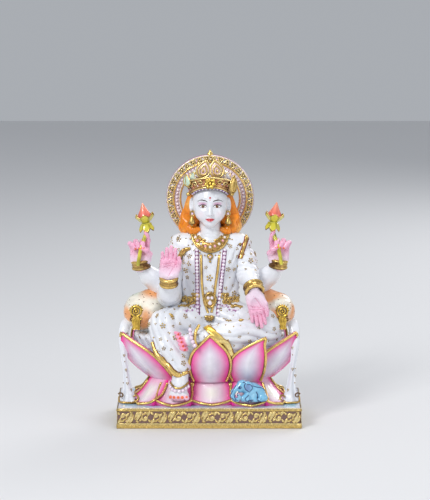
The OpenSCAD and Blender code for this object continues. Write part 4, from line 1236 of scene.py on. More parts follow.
def build_lotus_hand(side, wrist, label):
    wrist = np.array(wrist, float)

    def field(p):
        return closed_hand_field((p - wrist) / REAR_SCALE, side) * REAR_SCALE[1]
    verts, quads = carve(field, wrist + (-19, -16, -8), wrist + (19, 10, 46), 0.5)
    tint = hand_paint_and_shade(verts, quads, step_between(verts[:, 2] - wrist[2], 2, 20))
    for joints in CLOSED_FINGERS + [CLOSED_THUMB]:
        before, tip = np.array(joints[-2:])[:, :3] * REAR_SCALE * (side, 1, 1) + wrist
        nail = tip + 0.3 * (tip - before) + (0, -1.3, 0.4)
        near = 1 - step_between(np.sqrt(((verts - nail) ** 2).sum(1)), 1.0, 1.7)
        tint = over(tint, rgb(244, 116, 72), near)
    piece(f"rear_hand_{label}_cast", (verts, quads), M_SKIN, tint, [f"rear_hand_{label}"])

    # stem, flaring to a cup, then six pointed sepals round the bud
    base = wrist + (side * 5.4, 0, 47)
    stem = through([wrist + (side * -3.2, -10.2, 1), wrist + (side * -1.6, -11.2, 10),
                    wrist + (side * 0.4, -10.6, 20),
                    wrist + (side * 4.6, -5.4, 32), wrist + (side * 7.0, -1.6, 39),
                    base + (side * 1.2, 0, 0)], 40)
    flare = 2.0 + 0.5 * np.linspace(0, 1, 40) + 3.0 * step_between(np.linspace(0, 1, 40), 0.72, 1.0)
    v1, f1 = tube(stem, flare, 14)
    leaf = rgb(224, 214, 72)
    calyx, tints = [], []
    axis = np.array([side * -0.16, 0, 1.0])
    axis /= np.linalg.norm(axis)
    frame3 = facing(axis, (0, 1, 0))
    t, a = np.meshgrid(np.linspace(0, 1, 12), np.linspace(0, 2 * math.pi, 73), indexing="ij")
    point = 1 - np.abs(((a * 6 / (2 * math.pi)) % 1) * 2 - 1)
    edges = []
    for r, z in ((3.0 + 7.4 * t ** 0.7 + 0.5 * point * t, -0.5 + (7.0 + 3.4 * point) * t),
                 (2.8 + 5.4 * t ** 0.6 + 0.5 * point * t, 0.2 - (6.0 + 3.6 * point) * t ** 1.4)):
        outer = np.stack([r * np.cos(a), r * np.sin(a), z], -1)
        inner = np.stack([(r - 0.8) * np.cos(a), (r - 0.8) * np.sin(a), z + 0.1 * t], -1)
        shade = step_between(1 - point, 0.5, 1.0).ravel() * 0.6 + 0.2 * (1 - t.ravel())
        paint = mixed(leaf, rgb(128, 122, 22), shade)
        # the inner faces take the same colours darkened: painted shade
        v, f, tint = closed_shell(outer @ frame3.T + base, inner @ frame3.T + base, paint, paint * 0.7)
        calyx.append((v, f))
        tints.append(tint)
        edges.append(tube(((outer[-1] + inner[-1]) / 2)[:-1] @ frame3.T + base, 0.5, 7, closed=True))
    tints = [mixed(leaf, rgb(120, 116, 16), 0.35 + 0.35 * wobble(v1, 5, 5))] + tints
    piece(f"bud_stem_{label}", join((v1, f1), *calyx), M_PETAL, np.concatenate(tints), slot="bud_paint")
    piece(f"bud_calyx_rims_{label}", join(*edges), M_GOLD, GOLD)
    profile = [(0, 2), (5.4, 2.6), (7.6, 6), (7.2, 9.4), (4.6, 14), (2.2, 18.6), (0.8, 21.6), (0.02, 22.6)]
    p = through([(r, 0, z) for r, z in profile], 30)[:, [0, 2]]
    p[:, 0] = np.maximum(p[:, 0], 0.01)
    v, f = lathe(p, 36)
    a = np.arctan2(v[:, 1], v[:, 0])
    v[:, :2] *= (1 + 0.05 * np.abs(np.sin(a * 2.5)) - 0.03)[:, None]
    share = step_between(v[:, 2], 8, 21)
    tint = mixed(rgb(240, 118, 104), rgb(250, 160, 130), share)
    # darker in the grooves between the bud's petals: painted shade
    tint = tint * (1 - 0.35 * (1 - np.abs(np.sin(a * 2.5)) ** 0.5)[:, None])
    piece(f"bud_{label}_petals", (v @ frame3.T + base, f), M_PETAL, tint, [f"bud_{label}"], "bud_paint")


def bangle(name, node, place, axis, radius):
    """Two rolls and a carved waist round a wrist."""
    place = np.array(place, float)
    frame3 = facing(axis, (0, 1, 0))
    a = circle(72)
    section = [(-2.2, -5.0), (0.3, -5.5), (1.8, -4.6), (2.1, -3.1), (1.0, -1.8), (1.4, 0), (1.0, 1.8),
               (2.1, 3.1), (1.8, 4.6), (0.3, 5.5), (-2.2, 5.0)]
    rows = []
    for q in a:
        notch = 0.28 * math.sin(18 * q)
        rows.append([((radius + d + (notch if abs(h) < 1.6 else 0)) * math.cos(q),
                      (radius + d + (notch if abs(h) < 1.6 else 0)) * math.sin(q), h) for d, h in section])
    v = np.array(rows)
    f = hoop_faces(len(a), len(section))
    # darker at the inner edges and in the carved waist: painted shade
    depth = np.tile([1, 0.2, 0, 0, 0.8, 0.5, 0.8, 0, 0, 0.2, 1], len(a))
    v = v.reshape(-1, 3) @ frame3.T + place
    piece(name, (v, outward(v, f)), M_GOLD, mixed(GOLD, GOLD_DARK, depth * 0.8), [node])


def build_bangles():
    bangle("bangle_raised", "raised_bangle", (-44, -37.0, 161.0), (0, -0.35, 1), 8.5)
    bangle("bangle_lowered", "lowered_bangle", (48.9, -31.4, 151.4), (0.22, -0.75, -0.62), 9.3)
    bangle("bangle_rear_left", "rear_bangle_left", (-75.6, 5.2, 172.8), (-0.14, -0.1, 1), 8.6)
    bangle("bangle_rear_right", "rear_bangle_right", (76.6, 5.2, 173.8), (0.14, -0.1, 1), 8.6)


# ---------- head ----------

def pad(outline, front, back, rings=6):
    """A closed cushion over a flat outline of (u, v) points; front and back are its swells along w."""
    outline = np.array(outline, float)
    centre = outline.mean(0)
    share = np.linspace(0.001, 1, rings)
    rows = []
    for r, swell in [(r, front) for r in share] + [(r, -back) for r in share[::-1][1:]]:
        flat = centre + (outline - centre) * r
        rows.append(lifted(flat, swell * math.sqrt(max(0, 1 - r * r))))
    verts = np.concatenate(rows)
    return verts, outward(verts, sheet_faces(len(rows), len(outline), True))


# The directions of a mesh that stands up and faces the front
UPRIGHT = (1, 0, 0), (0, 0, 1), (0, -1, 0)


def placed(mesh, origin, u, v, w):
    """A mesh in (u, v, w) set down at origin with those three directions."""
    axes = np.array([u, v, w], float)
    faces = mesh[1] if np.linalg.det(axes) > 0 else mesh[1][:, ::-1]
    return mesh[0] @ axes + np.array(origin, float), faces


def teardrop(wide, high, lean=0.0, count=28):
    """The outline of a drop: round below, pointed above, its point moved sideways by lean."""
    a = circle(count)
    v = -np.cos(a)
    rise = (v + 1) / 2
    u = np.sin(a) * np.cos(rise * math.pi / 2 * 0.92) ** 0.55
    return np.stack([u * wide / 2 * 1.3 + lean * rise ** 2, v * high / 2], 1)


# Middle of the skull, the eyes, and a plane before the face that lines are laid on from
HEAD_Z = 244
FACE_Y = -24.0
EYE_X = 7.7
EYE_Z = 240.4


def head_field(p):
    x = p[:, 0] - MID_X
    side = np.abs(x)
    q = np.stack([side, p[:, 1], p[:, 2]], 1)
    skull = egg(q, (0, 1, HEAD_Z), (19.4, 20.6, 24))
    jaw = smooth_min(egg(q, (0, -5, 233), (15.6, 14.4, 14)), egg(q, (0, -9.8, 222.2), (7.4, 7.6, 7.0)), 5)
    head = smooth_min(skull, jaw, 6)
    head = smooth_min(head, egg(q, (8.4, -11.4, 231.5), (6.4, 6.4, 6)), 5)
    head = smooth_max(head, -egg(q, (EYE_X, -21.2, EYE_Z + 0.4), (5.6, 3.6, 3.9)), 2.2)
    head = smooth_min(head, egg(q, (EYE_X, -12.6, EYE_Z), (5.2, 5.8, 4.2)), 0.8)
    head = smooth_min(head, limb(q, [(1.4, -19, 246.2, 1.2), (7, -18, 247.4, 1.5), (12.6, -13.6, 245.6, 1.2)],
                                 1.5), 2.4)
    head = smooth_min(head, limb(q, [(0, -17.4, 244, 1.7), (0, -20.4, 236, 2.0), (0, -22.2, 232.6, 2.3)],
                                 1.6), 2.0)
    head = smooth_min(head, egg(q, (2.5, -19.8, 231.6), (1.7, 2.0, 1.5)), 0.9)
    head = smooth_max(head, -egg(q, (1.35, -21.6, 230.3), (0.7, 1.3, 0.55)), 0.4)
    head = smooth_max(head, -egg(q, (0, -20.6, 228.6), (0.8, 1.1, 1.5)), 0.8)
    upper = limb(q, [(0, -18.9, 226.4, 1.1), (1.5, -18.9, 226.9, 1.1), (4.6, -17.2, 226.5, 0.5)], 0.5)
    lower = limb(q, [(0, -18.7, 224.2, 1.4), (2.4, -18.2, 224.6, 1.1), (4.5, -16.9, 226, 0.4)], 0.6)
    head = smooth_min(head, smooth_min(upper, lower, 0.25), 0.7)
    head = smooth_max(head, -limb(q, [(0, -20.4, 225.6, 0.45), (4.9, -17.6, 226.3, 0.4)], 0.2), 0.4)
    ear = smooth_max(egg(q, (20.2, 2, 239), (2.8, 4.6, 8.6)), -egg(q, (21.6, -1.2, 240.6), (1.5, 2.6, 5.0)),
                     1.0)
    head = smooth_min(head, ear, 1.4)
    neck = cone(p, (MID_X, 3, 226, 11.2), (MID_X, 4.5, 204, 12.4))
    neck = smooth_min(neck, cone(p, (MID_X, 5, 204, 12.4), (MID_X, 6, 197, 15)), 5)
    for z in (208.5, 214.5):
        neck = neck + 0.35 * np.exp(-((p[:, 2] - z + 0.03 * x * x) / 0.7) ** 2)
    return smooth_min(head, neck, 2.6)


def build_head():
    verts, quads = carve(head_field, (-25, -27, 190), (27, 25, 270), 0.5)
    # cooler and darker in the hollows of the face and neck: painted shade
    deep = step_between(hollows(verts, quads, 5), 0.1, 0.7)
    tint = mixed(WHITE, COOL_SHADE, deep * 0.6 + 0.03)
    x = verts[:, 0] - MID_X
    front = step_between(-verts[:, 1], 10, 13)
    blush = np.exp(-(((np.abs(x) - 10.4) / 4.2) ** 2 + ((verts[:, 2] - 232) / 3.6) ** 2)) * front
    tint = over(tint, rgb(250, 180, 196), 0.2 * blush)
    lid = np.exp(-(((np.abs(x) - EYE_X - 0.6) / 4.6) ** 4 + ((verts[:, 2] - EYE_Z - 3.0) / 1.7) ** 4)) * front
    tint = over(tint, rgb(228, 168, 204), 0.75 * lid)
    mouth = np.abs(x) / 4.9
    upper = 226.4 + 1.35 * (1 - mouth ** 1.6) - 0.45 * np.exp(-(x / 0.8) ** 2)
    lower = 226.1 - 2.3 * (1 - np.minimum(mouth, 1) ** 2.2)
    lips = step_between(upper - verts[:, 2], -0.25, 0.25) * step_between(verts[:, 2] - lower, -0.25, 0.25)
    lips = lips * step_between(1.02 - mouth, 0, 0.1) * step_between(-verts[:, 1], 14, 15.5)
    tint = over(tint, rgb(218, 74, 84), lips)
    piece("head_cast", (verts, quads), M_RESIN, tint, ["head"])
    tree = tree_of((verts, quads))

    for s in (-1, 1):
        side = "left" if s < 0 else "right"
        # eyeball: an almond patch over the swell of the eye, with its iris and pupil
        t, h = np.meshgrid(np.linspace(-1, 1, 33), np.linspace(-1, 1, 17), indexing="ij")
        top, low = 1.75 * (1 - np.abs(t) ** 2.1), -1.25 * (1 - np.abs(t) ** 2.4)
        u = 4.3 * t
        v = low + (top - low) * (h + 1) / 2 + 0.3 * t * s
        flat = np.stack([MID_X + s * EYE_X + u, np.full_like(u, FACE_Y), EYE_Z + v], -1).reshape(-1, 3)
        front_pts, _ = lay_on(tree, flat, lift=0.16)
        r = np.hypot(u, v - 0.15).ravel()
        white = np.broadcast_to(rgb(250, 250, 250), (len(r), 3))
        iris = mixed(rgb(150, 96, 34), rgb(66, 34, 12), step_between(r, 1.1, 1.65))
        colour = over(white, iris, 1 - step_between(r, 1.5, 1.75))
        colour = over(colour, rgb(18, 10, 8), 1 - step_between(r, 0.62, 0.86))
        # darker under the upper lid: a painted shadow
        colour = over(colour, 0, step_between(v.ravel(), 0.7, 1.6) * 0.35)
        grid = front_pts.reshape(33, 17, 3)
        mesh = closed_shell(grid, grid + (0, 0.5, 0), colour, colour)
        piece(f"eye_{side}", mesh[:2], M_PEARL, mesh[2], slot="painted_skin")
        glint, _ = lay_on(tree, [(MID_X + s * EYE_X + 0.55, FACE_Y, EYE_Z + 0.75)], lift=0.28)
        lash = np.linspace(-1.02, 1.16, 26)
        edge = np.stack([MID_X + s * EYE_X + s * 4.3 * lash, np.full(26, FACE_Y),
                         EYE_Z + 0.1 + 1.75 * (1 - np.minimum(np.abs(lash), 1) ** 2.1)
                         + 0.9 * np.maximum(lash - 0.8, 0)], 1)
        upper_path, out = lay_on(tree, edge, lift=0.2)
        thick = 0.2 + 0.34 * np.sin(np.linspace(0.1, math.pi * 0.86, 26))
        lid_line = tube(upper_path, thick, 8, flat=0.6, normals=out)
        lash = np.linspace(-0.96, 1.0, 22)
        edge = np.stack([MID_X + s * EYE_X + s * 4.3 * lash, np.full(22, FACE_Y),
                         EYE_Z - 0.1 - 1.3 * (1 - np.abs(lash) ** 2.4)], 1)
        lower_path, out = lay_on(tree, edge, lift=0.1)
        low_line = tube(lower_path, 0.17, 6, flat=0.6, normals=out)
        crease = np.linspace(-0.8, 1.0, 20)
        edge = np.stack([MID_X + s * EYE_X + s * 4.5 * crease, np.full(20, FACE_Y),
                         EYE_Z + 1.1 + 1.9 * (1 - crease ** 2 * 0.9)], 1)
        crease_path, out = lay_on(tree, edge, lift=0.04)
        crease_line = tube(crease_path, 0.14, 6, flat=0.6, normals=out)
        brow = np.linspace(0, 1, 24)
        edge = np.stack([MID_X + s * (3.2 + 10.4 * brow), np.full(24, FACE_Y),
                         EYE_Z + 5.7 + 1.7 * np.sin(brow * math.pi * 0.9) - 1.1 * brow ** 3], 1)
        brow_path, out = lay_on(tree, edge, lift=0.1)
        brow_line = tube(brow_path, 0.16 + 0.42 * np.sin(np.minimum(1, brow * 1.25 + 0.1) * math.pi * 0.9), 8,
                         flat=0.55, normals=out)
        v, f, source = join(lid_line, low_line, crease_line, brow_line)
        dark = np.array([rgb(26, 14, 14), rgb(120, 70, 60), rgb(176, 112, 150), rgb(52, 28, 24)])
        piece(f"eye_lines_{side}", (v, f), M_LINE, dark[source], slot="painted_skin")
        piece(f"eye_glint_{side}", beads(glint, 0.3), M_PEARL, (1, 1, 1), slot="painted_skin")
    mark, out = lay_on(tree, [(MID_X, FACE_Y, 250.0), (MID_X, FACE_Y, 247.6)], lift=0.05)
    piece("brow_mark", beads(mark, (1.0, 0.5)), M_LINE, rgb(222, 34, 30), slot="painted_skin")
    seam = np.linspace(-1, 1, 26)
    mouth_path, out = lay_on(tree, np.stack([MID_X + 5.4 * seam, np.full(26, FACE_Y), 225.75 + 0.9 * seam ** 2
                                             - 0.12 * np.cos(seam * 9)], 1), lift=0.02)
    piece("mouth_line", tube(mouth_path, 0.2 * (1.1 - seam ** 2 * 0.6), 6, flat=0.6, normals=out), M_LINE,
          rgb(120, 22, 34),
          slot="painted_skin")
    return tree


# ---------- hair and earrings ----------

def hair_field(p):
    side = np.abs(p[:, 0] - MID_X)
    q = np.stack([side, p[:, 1], p[:, 2]], 1)
    cap = egg(q, (0, 7, 245), (23.6, 18, 25))
    lock = limb(q, [(16.6, 9, 250, 7.5), (18.4, 8.5, 238, 8.5), (21.8, 8.5, 225, 10),
                    (26.2, 8.5, 214.5, 9.2)], 5)
    curl = limb(q, [(25, 4, 213.5, 5.6), (19, 0, 211.5, 4.6), (13.6, -2, 212.5, 3.4)], 4)
    back = limb(q, [(6, 17, 240, 12), (9, 18, 220, 10), (12, 20, 202, 6.4)], 6)
    hair = smooth_min(smooth_min(cap, lock, 4), smooth_min(back, curl, 2), 4)
    around = np.arctan2(side, 12 - p[:, 1])
    strand = np.abs(np.sin(around * 17 + 0.05 * p[:, 2] + 0.9 * wobble(p, 9, 17)))
    fine = np.abs(np.sin(around * 41 + 0.16 * p[:, 2] + 1.4 * wobble(p, 5, 18)))
    hair = hair + 0.9 * (1 - strand ** 0.7) + 0.3 * (1 - fine)
    hair = smooth_max(hair, -egg(q, (0, -10, 237), (17.4, 18, 26)), 1.5)
    reach = np.where(p[:, 2] > 229, 4.5, 4.5 - (229 - p[:, 2]) * 0.75)
    hair = smooth_max(hair, (reach - p[:, 1]) * 0.9, 1.5)
    hair = smooth_max(hair, p[:, 1] - np.where(p[:, 2] > 214.5, 25.3, 26.9), 1)
    return smooth_max(hair, p[:, 2] - 262, 2)


def build_hair():
    verts, quads = carve(hair_field, (-38, -14, 192), (40, 30, 266), 0.62)
    deep = hollows(verts, quads, 4)
    glow = step_between(wobble(verts, 14, 21), -0.1, 0.7)
    tint = mixed(ORANGE, ORANGE_PALE, glow * 0.9)
    # darker orange in the strand grooves: painted shade
    tint = over(tint, ORANGE_DEEP, step_between(deep, -0.05, 0.25) * 0.9)
    piece("hair_cast", (verts, quads), M_HAIR, tint, ["hair"])
    parts, pearls = [], []
    for s in (-1, 1):
        x = MID_X + s * 19.6
        profile = [(0.01, 0), (2.2, 0.2), (3.6, 1.2), (3.7, 2.4), (3.0, 4.6), (2.2, 7.0), (1.2, 8.6),
                   (0.9, 9.4), (0.01, 9.6)]
        v, f = lathe(profile, 20)
        parts.append((v + (x + s * 0.4, -6.0, 218.4), f))
        hoop = [(x + 2.3 * math.cos(a), -5.2, 230.6 + 2.9 * math.sin(a)) for a in circle(20)]
        parts.append(tube(hoop, 0.8, 8, closed=True))
        parts.append(beads([(x + s * 0.4, -6, 218), (x + s * 0.4, -6, 228.0)], (1.3, 1.2)))
        pearls.append((x, -5.6, 230.6))
    piece("bell_earrings", join(*parts), M_GOLD,
          lambda v: mixed(GOLD, GOLD_DARK, 0.25 + 0.3 * wobble(v, 3, 22)), ["earrings"])
    piece("earring_stones", beads(pearls, 1.5), M_PEARL, PEARL, slot="bright_gilt")


# ---------- crown ----------

CROWN_BASE = np.array([MID_X, 2, 257.0])
CROWN_TILT = math.radians(8)
LEAF_STEP = 0.36
CROWN_AXES = np.array([[1, 0, 0], [0, math.cos(CROWN_TILT), -math.sin(CROWN_TILT)],
                       [0, math.sin(CROWN_TILT), math.cos(CROWN_TILT)]])


def on_crown(local):
    return np.asarray(local, float) @ CROWN_AXES + CROWN_BASE


def band_point(angle, high, out=0.0):
    """A place on the crown's band: angle from the front, height above its lower edge."""
    angle, high, out = np.broadcast_arrays(np.asarray(angle, float), high, out)
    r = 23.4 + 2.6 * high / 11 + out
    return on_crown(np.stack([r * np.sin(angle), -r * 0.96 * np.cos(angle), high], -1))


def band_arch(angle):
    """How far the band's lower edge rises over the forehead."""
    angle = np.abs(angle)
    return 1.2 - 7.4 * np.sin(np.clip(angle, 0, 1.45)) ** 2.4 + 3.0 * step_between(angle, 1.6, 2.6)


def curl(turns, radius, count=20, start=0.0, hand=1):
    """A spiral in (u, v), from its open end to its eye."""
    a = np.linspace(0, turns * 2 * math.pi, count)
    r = radius * (1 - 0.85 * np.linspace(0, 1, count))
    return np.stack([hand * r * np.cos(start + a), r * np.sin(start + a)], 1)


def build_crown():
    sides = 96
    a = np.linspace(-math.pi, math.pi, sides, endpoint=False)
    profile = [(0.01, 11.4, 0), (16, 11.4, 0), (1, 10.6, 1), (0.2, 9, 1), (-0.4, 6, 1), (-0.2, 3, 1),
               (0.6, 1.2, 1), (0, 0, 1), (-3.4, 0.4, 1), (-5.0, 4, 1)]
    rows = []
    for r, high, on_band in profile:
        if on_band:
            rows.append(band_point(a, high + band_arch(a) * (1 - 0.35 * high / 11), r))
        else:
            rows.append(on_crown(np.stack([r * np.sin(a), -r * np.cos(a), np.full(sides, high)], 1)))
    rows.append(on_crown(np.stack([14 * np.sin(a), -14 * np.cos(a), np.full(sides, 5.0)], 1)))
    rows.append(on_crown(np.stack([0.01 * np.sin(a), -0.01 * np.cos(a), np.full(sides, 6.0)], 1)))
    verts = np.concatenate(rows)
    flute = np.tile(np.cos(a * 24) * 0.12, len(rows))
    verts[:, 2] += flute
    recess = mixed(rgb(158, 92, 58), rgb(222, 164, 122), 0.5 + 0.5 * wobble(verts, 3, 24))
    piece("crown_band_core", (verts, outward(verts, sheet_faces(len(rows), sides, True))), M_OLD_GOLD, recess,
          ["crown_band"], "bright_gilt")

    strokes, gems, gem_tints = [], [], []
    for high, thick, out in ((0.4, 0.95, 0.3), (10.9, 1.1, 0.6), (2.9, 0.45, -0.1)):
        strokes.append(tube(band_point(a, high + band_arch(a) * (1 - 0.35 * high / 11), out), thick, 8,
                            closed=True))
    count = 22
    for k in range(count):
        middle = (k + 0.5) / count * 2 * math.pi - math.pi
        if abs(middle) < 0.28:
            continue
        hand = 1 if middle > 0 else -1
        for start, high, size in ((0.4, 6.6, 3.0), (3.6, 8.2, 1.9)):
            uv = curl(1.15, size, 22, start, hand)
            path = band_point(middle + uv[:, 0] / 24, high + band_arch(middle) * 0.85 + uv[:, 1] * 0.85, 0.35)
            strokes.append(tube(path, np.linspace(1.0, 0.55, 22), 7))
        gems.append(band_point(middle + 0.13, 4.6 + band_arch(middle) * 0.85, 0.3))
        gem_tints.append(rgb(236, 150, 150) if k % 2 else PEARL)
    piece("crown_band_scrolls", join(*strokes), M_GOLD,
          lambda v: mixed(GOLD, GOLD_PALE, 0.4 + 0.4 * wobble(v, 4, 25)))
    jewels("crown_band_gems", beads(gems, 0.85, 5, 8), gem_tints)

    # the row of square stones under the band, over the forehead
    row_a = np.linspace(-1.1, 1.1, 25)
    places = [(band_point(q, -0.9 + band_arch(q), -0.5), CROWN_AXES.T @ np.diag([1.05, 1.0, 1.05]))
              for q in row_a]
    tints = [rgb(152, 108, 168) if k % 2 else rgb(244, 238, 248) for k in range(len(row_a))]
    jewels("crown_forehead_stones", copies(ball_mesh(5, 8), places), tints)

    # crest: a domed back that carries leaves, two flames and two wings
    def dome(p):
        q = (p - CROWN_BASE) @ CROWN_AXES.T
        body = egg(q, (0, 1.5, 11), (23.6, 19, 14.5))
        body = smooth_max(body, 10.4 - q[:, 2], 1)
        body = smooth_max(body, q[:, 2] - 25, 3)
        body = smooth_max(body, p[:, 1] - np.where(p[:, 2] > 214.5, 25.3, 27), 1)
        return body + 0.35 * np.abs(np.sin(np.arctan2(q[:, 0], -q[:, 1] + 6) * 13))
    verts, quads = carve(dome, (-27, -22, 262), (29, 28, 288), 0.7)
    deep = step_between(hollows(verts, quads, 3), 0.0, 0.25)
    q = (verts - CROWN_BASE) @ CROWN_AXES.T
    mint = step_between(-q[:, 0], 14, 20) * step_between(-q[:, 1], -6, 2)
    # mauve in the hollows between the ribs, and darker gilding there too: painted shade
    base = mixed(rgb(246, 238, 240), rgb(176, 116, 130), deep * 0.8)
    base = over(base, rgb(206, 240, 206), 0.7 * mint)
    base = over(base, mixed(GOLD, GOLD_DARK, deep), step_between(q[:, 1], 2, 6))
    piece("crown_dome", (verts, quads), M_RESIN, base, ["crown_crest"], "bright_gilt")

    gold, fills, fill_tints = [], [], []

    def leaf(centre, wide, high, lean, turn, face, fill, depth=1.6, inner=True, thick=0.75):
        """One leaf or flame of the crest, upright, with a gold rim and an inner drop."""
        out = np.array([math.sin(face), -math.cos(face), 0.0])
        u = np.array([math.cos(face), math.sin(face), 0.0])
        v = np.array([0, 0, 1.0])
        u2, v2 = u * math.cos(turn) + v * math.sin(turn), -u * math.sin(turn) + v * math.cos(turn)
        stand = on_crown(centre), u2 @ CROWN_AXES, v2 @ CROWN_AXES, out @ CROWN_AXES
        shape = teardrop(wide, high, lean)
        fills.append(placed(pad(shape * 0.97, depth, 2.2), *stand))
        fill_tints.append(np.broadcast_to(fill, (len(fills[-1][0]), 3)))
        rim = lifted(shape, 0.5)
        gold.append(placed(tube(rim, thick, 8, closed=True), *stand))
        if inner:
            small = teardrop(wide * 0.56, high * 0.58, lean * 0.55) + (0, -high * 0.07)
            rim = lifted(small, depth + 0.35)
            gold.append(placed(tube(rim, thick * 0.7, 7, closed=True), *stand))
            seed = teardrop(wide * 0.24, high * 0.3, 0) + (0, -high * 0.1)
            gold.append(placed(pad(seed, depth + 1.5, 0.2, 5), *stand))

    white = rgb(248, 244, 244)
    for k in (-3, -2, 2, 3):
        face = k * LEAF_STEP
        leaf((20.5 * math.sin(face), -17.5 * math.cos(face) + 1, 18.6 - 1.3 * abs(k)), 7.4,
             12.5 - 1.6 * abs(k), 0, 0.08 * k, face, mixed(white, rgb(196, 236, 200), 0.6 * (k == -3)),
             inner=abs(k) == 2, thick=0.6)
    for k in (-4, -5, 4, 5):
        face = k * LEAF_STEP
        leaf((22.0 * math.sin(face), -18 * math.cos(face) + 2.4, 14), 7, 7, 0, 0, face, rgb(236, 196, 190),
             inner=False, thick=0.6)
    for s in (-1, 1):
        leaf((s * 7.3, -17.4, 21.6), 12.8, 18.4, -s * 1.8, s * 0.1, s * 0.12, rgb(246, 214, 206), depth=1.8,
             thick=1.35)
    leaf((0, -17.6, 15.6), 5.0, 8.4, 0, 0, 0, white, inner=False, thick=0.55)
    piece("crest_leaves", join(*fills), M_RESIN, np.concatenate(fill_tints), slot="bright_gilt")
    piece("crest_leaf_rims", join(*gold), M_GOLD,
          lambda v: mixed(GOLD, GOLD_PALE, 0.4 + 0.5 * wobble(v, 5, 27)))
    seats = (15.4, 15.4, 14.6), (13.2, 16.6, 13.8), (0.0, 18.8, 26.6)
    drops = [on_crown((s * x, -y, z)) for s in (-1, 1) for x, y, z in seats]
    piece("crest_pearls", beads(drops, 1.25), M_PEARL, rgb(246, 236, 246), slot="bright_gilt")

    # side wings: one gilt, with ribs, and one pale
    wings = []
    for s, high, colour in ((1, 20, GOLD), (-1, 13, rgb(214, 240, 214))):
        shape = teardrop(9.6, high, s * 1.4, 32)
        shape[:, 0] += 0.5 * np.sin(shape[:, 1] * 1.6)
        face = s * 0.8
        u, out = np.array([math.cos(face), math.sin(face), 0]), np.array([math.sin(face), -math.cos(face), 0])
        stand = (MID_X + s * 25, -9.5, 263.5 if s > 0 else 268), u, (0, 0, 1), out
        mesh = placed(pad(shape, 1.8, 1.4), *stand)
        piece("crown_wing_" + ("right" if s > 0 else "left"), mesh, M_GOLD if s > 0 else M_RESIN,
              mixed(colour, colour * 0.75, 0.5 + 0.5 * wobble(mesh[0], 2.2, 28)), slot="bright_gilt")
        rim = lifted(shape, 0.5)
        wings.append(placed(tube(rim, 0.6, 7, closed=True), *stand))
        rib = np.array([(0.4 * s, -high * 0.4, 1.6), (0.7 * s, 0, 2.2), (1.2 * s, high * 0.42, 1.2)])
        wings.append(placed(tube(through(rib, 12), 0.4, 6), *stand))
        wings.append(beads([(MID_X + s * 24, -8.4, 252.6)], 2.3))
    piece("crown_wing_rims", join(*wings), M_GOLD, GOLD)

    # rosette: seven petals round a boss
    centre = np.array([MID_X, -24.6, 266.6])
    sine, cosine = math.sin(CROWN_TILT), math.cos(CROWN_TILT)
    stand = centre, (1, 0, 0), (0, sine, cosine), (0, -cosine, sine)
    parts = [placed(pad(teardrop(9.5, 9.5, 0, 24), 1.0, 2.0), *stand)]
    for k in range(7):
        q = 2 * math.pi * k / 7
        turned_by = np.array([[math.cos(q), math.sin(q)], [-math.sin(q), math.cos(q)]])
        shape = teardrop(5.0, 6.0, 0, 16) @ turned_by
        shape += np.array([-math.sin(q), math.cos(q)]) * 4.2
        parts.append(placed(pad(shape, 2.0, 0.6, 5), *stand))
    parts.append(placed(beads([(0, 0, 1.8)], 1.7), *stand))
    piece("rosette_petals", join(*parts), M_GOLD,
          lambda v: mixed(rgb(244, 206, 96), GOLD_DARK,
                          step_between(np.abs(wobble(v, 1.5, 29)), 0.2, 0.9) * 0.5), ["crown_rosette"])


# ---------- halo ----------

HALO = np.array([MID_X, 27.0, 243.0])


def halo_point(angle, r, out=0.0):
    """A place on the halo's front face: angle from the top, distance from its middle, height off the face."""
    angle, r, out = np.broadcast_arrays(np.asarray(angle, float), r, out)
    return np.stack([HALO[0] + r * np.sin(angle), HALO[1] - out, HALO[2] + r * np.cos(angle)], -1)


